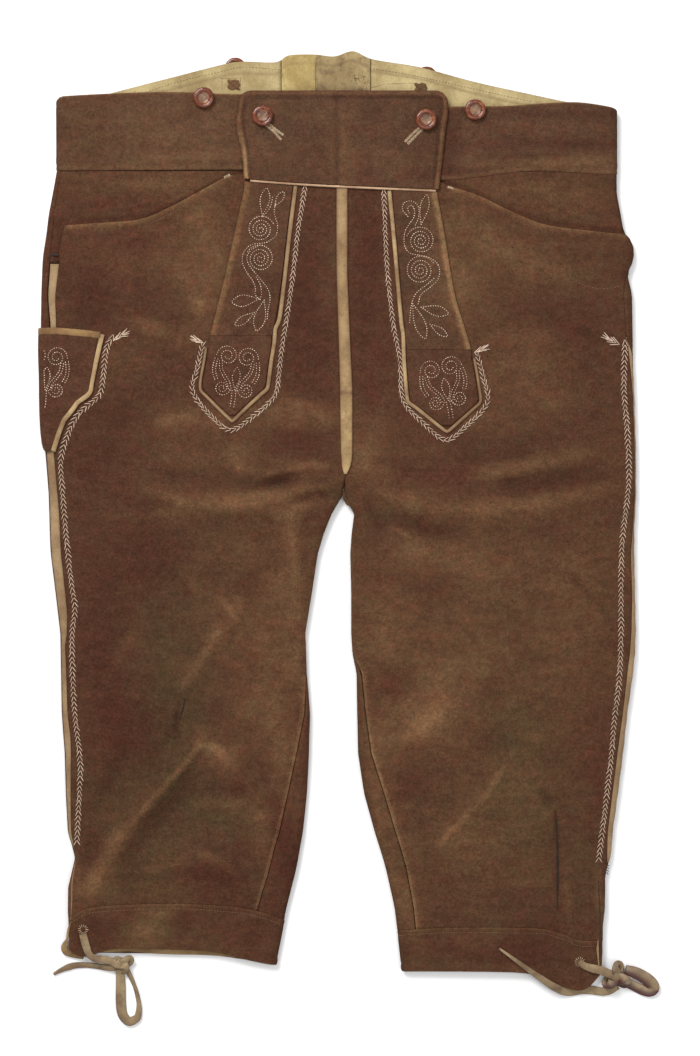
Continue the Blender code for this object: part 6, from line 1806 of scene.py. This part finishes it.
# braid of chevrons beside the piping and down the side seams
braids = {
    "right": [
        (-28.2, 282.4), (-34, 246.2), (-38.2, 209.6), (-43.4, 172.2), (-48.4, 140.8), (-51.9, 111), (-58.6, 100),
        (-71.4, 88.9), (-90.1, 77), (-106.2, 87.2), (-123.2, 109.3), (-119.8, 128), (-114.8, 150.1),
    ],
    "left": [
        (38.9, 279), (41.6, 216.4), (46.8, 168), (52.7, 135.7), (55.2, 102.5), (71.4, 83.8), (91, 68.5),
        (107.1, 78.7), (126.6, 100), (123.2, 122.1), (118.1, 141.6),
    ],
}
sideBraids = {
    "right": [
        (-191.8, 155.4), (-196.6, 146), (-198.4, 132), (-199.8, 118), (-201.6, 109), (-205.6, 103.2), (-214.6, 96),
        (-222.4, 88), (-228.8, 75), (-233, 63), (-235.6, 50), (-234.6, 30), (-230.3, -20.7), (-226.1, -56.4),
        (-223.5, -76), (-226.1, -101.5), (-224.4, -155), (-219.3, -203.5), (-219.3, -220.5), (-221, -253.6),
        (-222, -274),
    ],
    "left": [
        (243.9, 151), (243.1, 110.2), (245.7, 79.6), (247.3, 45.6), (246.5, 24.3), (241.4, -20.7), (240.5, -64.9),
        (240.5, -101.5), (238.8, -137.2), (234.6, -172.9), (232, -203.5), (221.8, -288.5),
    ],
}
for side in sides:
    [
        sewn(f"{name}Braid{side.title()}", [along(lines[side], 1.2)], "front", stitch, pitch, "thread", seed,
            **braidLook)
        for name, lines, stitch, pitch, seed in (
            ("placket", braids, chevron, 4.3, 11), ("side", sideBraids, wideChevron, 4.2, 12),
        )
    ]
print("braids done")


# scrollwork on the strips, tongues and knife pocket: small round-ended stitches in paired lines
def spiral(x, y, radius, start, turns, hand=1, core=0.24):
    steps = np.linspace(0, 1, max(12, round(turns * 26)))
    a = np.radians(start) + hand * steps * turns * 2 * pi
    r = radius * (1 - (1 - core) * steps**0.85)
    return asPoints(x + r * np.cos(a), y + r * np.sin(a))


# outline of a pointed leaf
def leaf(x, y, length, width, angle):
    t = np.sin(np.linspace(0, pi / 2, 18))
    bulge = width * np.sin(pi * t**1.35) ** 0.8
    edge = np.concatenate([asPoints(t * length, bulge), asPoints(t * length, -bulge)[::-1]])
    c, s = cos(radians(angle)), sin(radians(angle))
    return asPoints(x + edge[:, 0] * c - edge[:, 1] * s, y + edge[:, 0] * s + edge[:, 1] * c)


def paired(line, apart):
    ahead = unit(np.gradient(line, axis=0))
    side = asPoints(-ahead[:, 1], ahead[:, 0])
    return [line + side * apart / 2, line - side * apart / 2]


Scroll = namedtuple("Scroll", "x y radius start turns hand core")
Leaf = namedtuple("Leaf", "x y length width angle")
scrolls = {  # on each strip: spirals, winding lines and leaves
    "placketRight": {
        "spirals": rowsOf(Scroll, [(-65.6, 247.4, 11.8, 25, 3.3, 1, 0.1), (-66, 222.4, 12.2, 150, 3.3, -1, 0.1)]),
        "lines": [
            [
                (-53.2, 268), (-54.1, 262), (-52.3, 254.7), (-51.2, 249), (-52.5, 242), (-56.2, 238.8), (-61, 236),
                (-67, 235.2), (-73.2, 234.2), (-77.8, 230.9), (-80.9, 225.4), (-80.9, 218.1), (-76.8, 209.8),
                (-72.4, 203.6), (-70.1, 197.4), (-70.1, 191.6), (-66.9, 187.8),
            ],
            [
                (-68.2, 233), (-72.4, 230.6), (-76.6, 226), (-77, 220.4), (-73.8, 214.4), (-68.6, 208.2),
                (-64.4, 203.2), (-60.2, 197.6), (-57.9, 192), (-57.8, 186), (-59.2, 179.6), (-60.1, 171.3),
            ],
            [(-69.2, 206.6), (-65.8, 199.6), (-65, 192.4), (-66, 187.6)],
            [(-64.2, 257.9), (-60.1, 262), (-56.9, 267.5), (-55.5, 274.4)],
        ],
        "leaves": rowsOf(Leaf, [
            (-64.2, 258.6, 24, 4, 81), (-53.4, 267.2, 14, 2.9, 58), (-67.4, 188.2, 23, 4.8, 187),
            (-71, 176.6, 20, 3.2, 214), (-62.6, 187, 27, 4.8, 256),
        ]),
    },
    "placketLeft": {
        "spirals": rowsOf(Scroll, [(70.3, 237.6, 12.4, 160, 3.4, -1, 0.1), (69.8, 212.4, 13, 30, 3.4, 1, 0.1)]),
        "lines": [
            [(59.3, 258.2), (54.7, 264), (56.4, 269.8), (62.8, 271.2), (68, 266.9), (68.6, 258.2), (65.7, 250.9)],
            [
                (60.4, 261.1), (59.3, 265.4), (62.8, 267.5), (65.1, 262.5), (64, 256.7), (60, 251), (56.6, 244),
                (56.4, 234), (60.6, 227.4), (68.6, 225.2), (77, 223.4), (84, 218.6), (86.4, 211), (84, 203.4),
                (77.4, 197.4), (70.6, 191.8), (68, 184),
            ],
            [(81.4, 205.4), (74.4, 199.4), (67, 193.6), (63.4, 187), (61.6, 178), (60.8, 168)],
        ],
        "leaves": rowsOf(Leaf, [
            (70.6, 251.5, 26, 3.6, 79), (70.6, 181, 24, 4.3, -13), (78.2, 166.6, 18, 2.9, -35),
            (63.4, 184, 32, 4.6, -70),
        ]),
    },
}
Lyre = namedtuple("Lyre", "piece surface x y tilt least")
lyres = [  # the small motif, leaning by tilt; least is how far left it may reach
    Lyre("tongueRight", "strip", -85.2, 139, -6.4, -200), Lyre("tongueLeft", "strip", 87.2, 129, 11.9, 0),
    Lyre("pocket", "pocket", -247.4, 139.2, -4, -249.6),
]


# two curls above, two below, joined on the outside and crossing inside, with a bud and a stem
def lyreLines(row):
    lines = [leaf(0.8, -28, 19, 3.3, 90), *paired(along([(0.2, -29), (0.4, -36), (0, -42.5)], 1.2), 3.2)]
    outside = [(17.6, -3.5), (18.6, -9.5), (18.2, -15.3), (16, -20.5)]
    crossing = [(13.6, -5), (12.6, -11.9), (8.8, -17.9), (5.6, -22.1), (3.6, -27.4)]
    for hand in (1, -1):
        toward = 0 if hand == 1 else 180
        lines += [
            spiral(hand * 8.4, 0, 9.4, toward, 1.9, hand, 0.25),
            spiral(hand * 10.1, -27.6, 6.9, toward + hand * 190, 2, hand, 0.2),
            *paired(along([(hand * x, y) for x, y in outside], 1.2), 2.6),
            *paired(along([(hand * x, y) for x, y in crossing], 1.2), 2.4),
        ]
    c, s = cos(radians(row.tilt)), sin(radians(row.tilt))
    placed = [asPoints(row.x + line[:, 0] * c - line[:, 1] * s, row.y + line[:, 0] * s + line[:, 1] * c)
        for line in lines]
    kept = [line[line[:, 0] > row.least] for line in placed]
    return [line for line in kept if len(line) > 3]


for k, (name, rows) in enumerate(scrolls.items()):
    lines = [spiral(*row) for row in rows["spirals"]] + [leaf(*row) for row in rows["leaves"]]
    lines += [along(line, 1.2) for line in rows["lines"]]
    sewn(f"scrollwork{name[0].upper()}{name[1:]}", lines, "strip", dash, 2, "brightThread", 30 + k, **scrollLook)
for k, row in enumerate(lyres):
    name = f"scrollwork{row.piece[0].upper()}{row.piece[1:]}"
    sewn(name, lyreLines(row), row.surface, dash, 2, "brightThread", 40 + k, **scrollLook)
print("scrollwork done")

# seams and other plain stitching
rimY = np.arange(290, 350.1, 2)
bandX = np.arange(-70, 78.1, 2)
mouthX = {"right": np.arange(-222, -96, 2), "left": np.arange(98, 242, 2)}
flapStitchLine = [
    *[(float(over(flapSides, "y", "left", y)) + 6.2, y) for y in rimY], (-74.6, 355.4),
    *[(x, 358.2) for x in bandX], (82.4, 355.6),
    *[(float(over(flapSides, "y", "right", y)) - 6.2, y) for y in rimY[::-1]],
]


def dotted(*points):
    return along(points, 1.5)


def ringLine(x, y, radius):
    a = np.linspace(0, 2 * pi, 40)
    return asPoints(x + radius * np.cos(a), y + radius * np.sin(a))


# short guides for the prongs of a tuft, row after row along its heading
def ear(x, y, heading, rows=3, gap=2.9):
    guides = []
    for k in range(rows):
        fromX, fromY = x + gap * k * cos(radians(heading)), y + gap * k * sin(radians(heading))
        for a in (heading - 24 + 3 * k, heading + 22 - 4 * k, *([heading] if k == rows - 1 else [])):
            guides.append(np.array([[fromX, fromY], [fromX + 3 * cos(radians(a)), fromY + 3 * sin(radians(a))]]))
    return guides


Seam = namedtuple("Seam", "name lines surface stitch pitch paint lift",
    defaults=("front", fineDash, 2.4, "tanThread", 0.05))
seams = [
    Seam("flapRimStitches", [flapStitchLine], "flap", fineDash, 2.6, "darkThread", 0.02),
    Seam("mouthStitches", [asPoints(x, over(frontTop[side], "x", "y", x) - 3.4) for side, x in mouthX.items()]),
    Seam("inseamStitchesRight",
         [dotted((-30.4, -155), (-36.2, -190.7), (-44.6, -233.2), (-56.6, -280.8), (-69.6, -327)),
          dotted((-39.9, 6.5), (-38.6, -20), (-34.9, -56.4))]),
    Seam("inseamStitchesLeft",
         [dotted((23.2, -132.9), (25.2, -163.5), (30.4, -199.2), (39.6, -224.7), (53.2, -273.2), (65.2, -321.6),
             (67.4, -343))]),
    Seam("cuffStitchesLeft",
         [dotted((53, -353), (97, -350.5), (166.6, -351), (178, -352), (191.4, -356.4), (206, -362), (218, -362))],
         "cuff"),
    Seam("cuffStitchesRight",
         [dotted((-224, -340.2), (-206.6, -333.2), (-144.5, -330), (-93.5, -332.6), (-67.6, -337.2), (-50, -343))],
         "cuff"),
    Seam("kneeArcStitches", [dotted((197.2, 207.1), (206, 201.2), (217.6, 197.7), (230, 197.4), (241.4, 199.4))],
        pitch=3),
    Seam("facingStitches",
         [dotted((-164.9, 363.5), (-136.8, 372.8), (-101.1, 381.3), (-80.8, 385.6), (-50.5, 383.4)),
          dotted((30.6, 383.9), (55, 380.2), (82.5, 374.5), (127.5, 364.3), (163.2, 356.7))], "facing", fineDash,
          2.7, "darkThread"),
    Seam("facingSeams",
         [dotted((-49.3, 390), (-47, 378), (-44.2, 366)), dotted((-17.6, 395), (-20, 380), (-21.2, 366)),
          dotted((28.9, 391), (26, 378), (23.8, 366)),
          dotted((27.2, 367.7), (34, 369.6), (40, 371.1), (52, 371.6), (65.5, 372)),
          dotted((-98.6, 376), (-98.6, 367)), dotted((-83, 376), (-83, 366.4)), dotted((-98.6, 376), (-83, 376))],
          "facing", pitch=1.7),
    Seam("buttonholeRight",
         [dotted((-60.8, 335.2), (-54.6, 330.2), (-48.4, 323.2)), dotted((-59, 337), (-52.6, 331.4), (-46.6, 327.2))],
         "flap", shortBar, 0.78, "paleThread"),
    Seam("buttonholeLeft",
         [dotted((69.6, 333.4), (63, 327.6), (57, 321.4)), dotted((71.6, 332), (65, 325.4), (59.4, 319.6))],
         "flap", shortBar, 0.78, "paleThread"),
    Seam("pocketTackDark", [dotted((-244.4, 226), (-237.9, 226))], "front", shortBar, 0.5, "darkThread", 0.2),
    Seam("pocketTackThreads", [dotted((-246.5, 223.6), (-236.5, 220.8)), dotted((-246.5, 221.4), (-237.5, 219.2))],
         "front", fineDash, 1.4, "darkThread", 0.2),
    Seam("mouthTacks", [dotted((-96.4, 291.6), (-92, 293.6)), dotted((93.6, 283.4), (97.6, 282))],
         "front", shortBar, 0.7, "paleThread", 0.15),
    Seam("jointTufts", [*ear(-114.2, 150.8, 156), *ear(116.4, 143, 22)], "front", prong, 60, "thread", 0.5),
    Seam("sideTufts", [*ear(-191, 152.8, 32, 4), *ear(239.2, 149.6, 152, 4)], "front", prong, 60, "thread", 0.4),
    Seam("eyeletRight", [ringLine(-216.8, -348, 3.3)], "cuff", shortBar, 1.5, "paleThread", 0.1),
    Seam("eyeletLeft", [ringLine(205.7, -375.6, 3.3)], "cuff", shortBar, 1.5, "paleThread", 0.1),
]
for k, row in enumerate(seams):
    sewn(row.name, row.lines, row.surface, row.stitch, row.pitch, row.paint, 50 + k, 0.16, 0.16, row.lift)
print("plain stitches done:", len(seams))

# small cream edges and threads, each a thin strap
Trim = namedtuple("Trim", "name widths thick paint route")


# route along the front leather's face
def kneeLine(*points):
    return [(x, y, float(frontLevel(x, y)) + half + 0.12) for x, y in points]


trims = [
    Trim("hemTapeRight", (1.4, 3.8, 4.6, 5.6, 5.6, 4.6, 3, 1.2), 0.8, "cream",
         [
             (-203, -367.4, 3.2), (-190, -366.2, 3.2), (-178, -365.2, 3.2), (-160, -366.2, 3.2), (-140, -367, 3.2),
             (-120, -367.8, 3.2), (-102, -369.6, 3), (-86, -371.8, 2.8),
         ]),
    Trim("slitEdgeRight", (1, 1.8, 2.2, 1.8), 1, "cream",
         [(-227, -341, 8.4), (-229.2, -347, 7.6), (-230.4, -355, 6.6), (-230.8, -362, 5.6)]),
    Trim("slitCornerRight", (1.6, 5.6, 7, 5.4, 3), 1.2, "cream",
         [
             (-230.8, -356.6, 2.4), (-233.2, -362.4, 2.2), (-232.2, -366.8, 2), (-226, -369.6, 1.8),
             (-217, -372.6, 1.6),
         ]),
    Trim("slitFacingRight", (0.5, 1.1, 1, 0.6), 0.5, "tanThread",
        kneeLine((-223, -288), (-226, -306), (-226.6, -324), (-227.4, -340))),
    Trim("slitLineLeft", (0.3, 0.6, 0.6, 0.4), 0.5, "darkThread",
         # a thin dark line along the slit: painted shadow in its gap
         [(221.4, -306, 8.6), (222.4, -330, 8.8), (223, -352, 8.6), (223.4, -379, 6.8)]),
    Trim("slitEdgeLeft", (0.6, 2.2, 1.4, 1), 0.8, "cream",
         [(221.2, -356, 9.4), (220.8, -364, 9.2), (221.2, -370, 8.8), (222, -379.6, 7.6)]),
    # the next two are black lines laid along the knee slits: painted shadow in them
    Trim("kneeSlitLeft", (0.5, 1.3, 1.6, 1.4, 0.6), 0.7, "blackThread",
        kneeLine((184.6, -246.5), (186.4, -272), (186.9, -300), (186.4, -331.5))),
    Trim("kneeSlitRight", (0.5, 1.4, 0.5), 0.7, "blackThread",
        kneeLine((-129.6, -151), (-131.4, -159), (-134.6, -169))),
    Trim("crotchWedge", (1, 7, 8.4, 6), 0.8, "suede", [
        (4.2, 24.6, 7.6), (7.4, 20, 7.4), (10.6, 16, 7.2), (14.6, 12.6, 7),
    ]),
    *[Trim(f"slitTack{k + 1}", (0.5, 0.7, 0.4), 0.5, "darkThread",
           [(226.6, -293 - 2.2 * k, 5.6), (229.6, -293.6 - 2.2 * k, 4.6), (231.4 - 0.4 * k, -294.4 - 2.4 * k, 3)])
           for k in range(4)],
]
for row in trims:
    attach(strapMesh(row.name, along(row.route, 1.6), row.widths, (0,), row.thick, row.paint), root)

for side in sides:
    declare(legPieces["front", side], [f"front_{side}"])
    declare(legPieces["back", side], [f"back_{side}"])
    declare(welts[side], [f"side_welt_{side}"])
    declare(yokes[side], [f"yoke_{side}"])
    declare(waistFronts[side], [f"waistband_front_{side}"])
    outer, facing = waistBacks[side]
    declare(outer, [f"waistband_back_{side}"])
    declare(facing, [f"facing_{side}"])
    declare(gussets[side], [f"gusset_{side}"])
    declare(placketPieces[side], [f"placket_{side}"])
    declare(tonguePieces[side], [f"tongue_{side}"])
    declare(beads[side], [f"piping_{side}"])
    declare(cuffs[side], [f"cuff_{side}"])
declare(flap, ["flap_waistband"])
declare(flapEdge, ["flap_piping"])
declare(centreBand, ["centre_strip"])
knifeSlots = {"knife_pocket": "strip", "knife_pocket_binding": "binding", "knife_pocket_piping": "cream"}
for obj, (node, slotName) in zip(knife, knifeSlots.items()):
    declare(obj, [node])

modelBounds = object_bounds()
for name, box in (("solids", cadBounds), ("model", modelBounds)):
    print(name, [[round(float(v) / mm, 1) for v in corner] for corner in box])
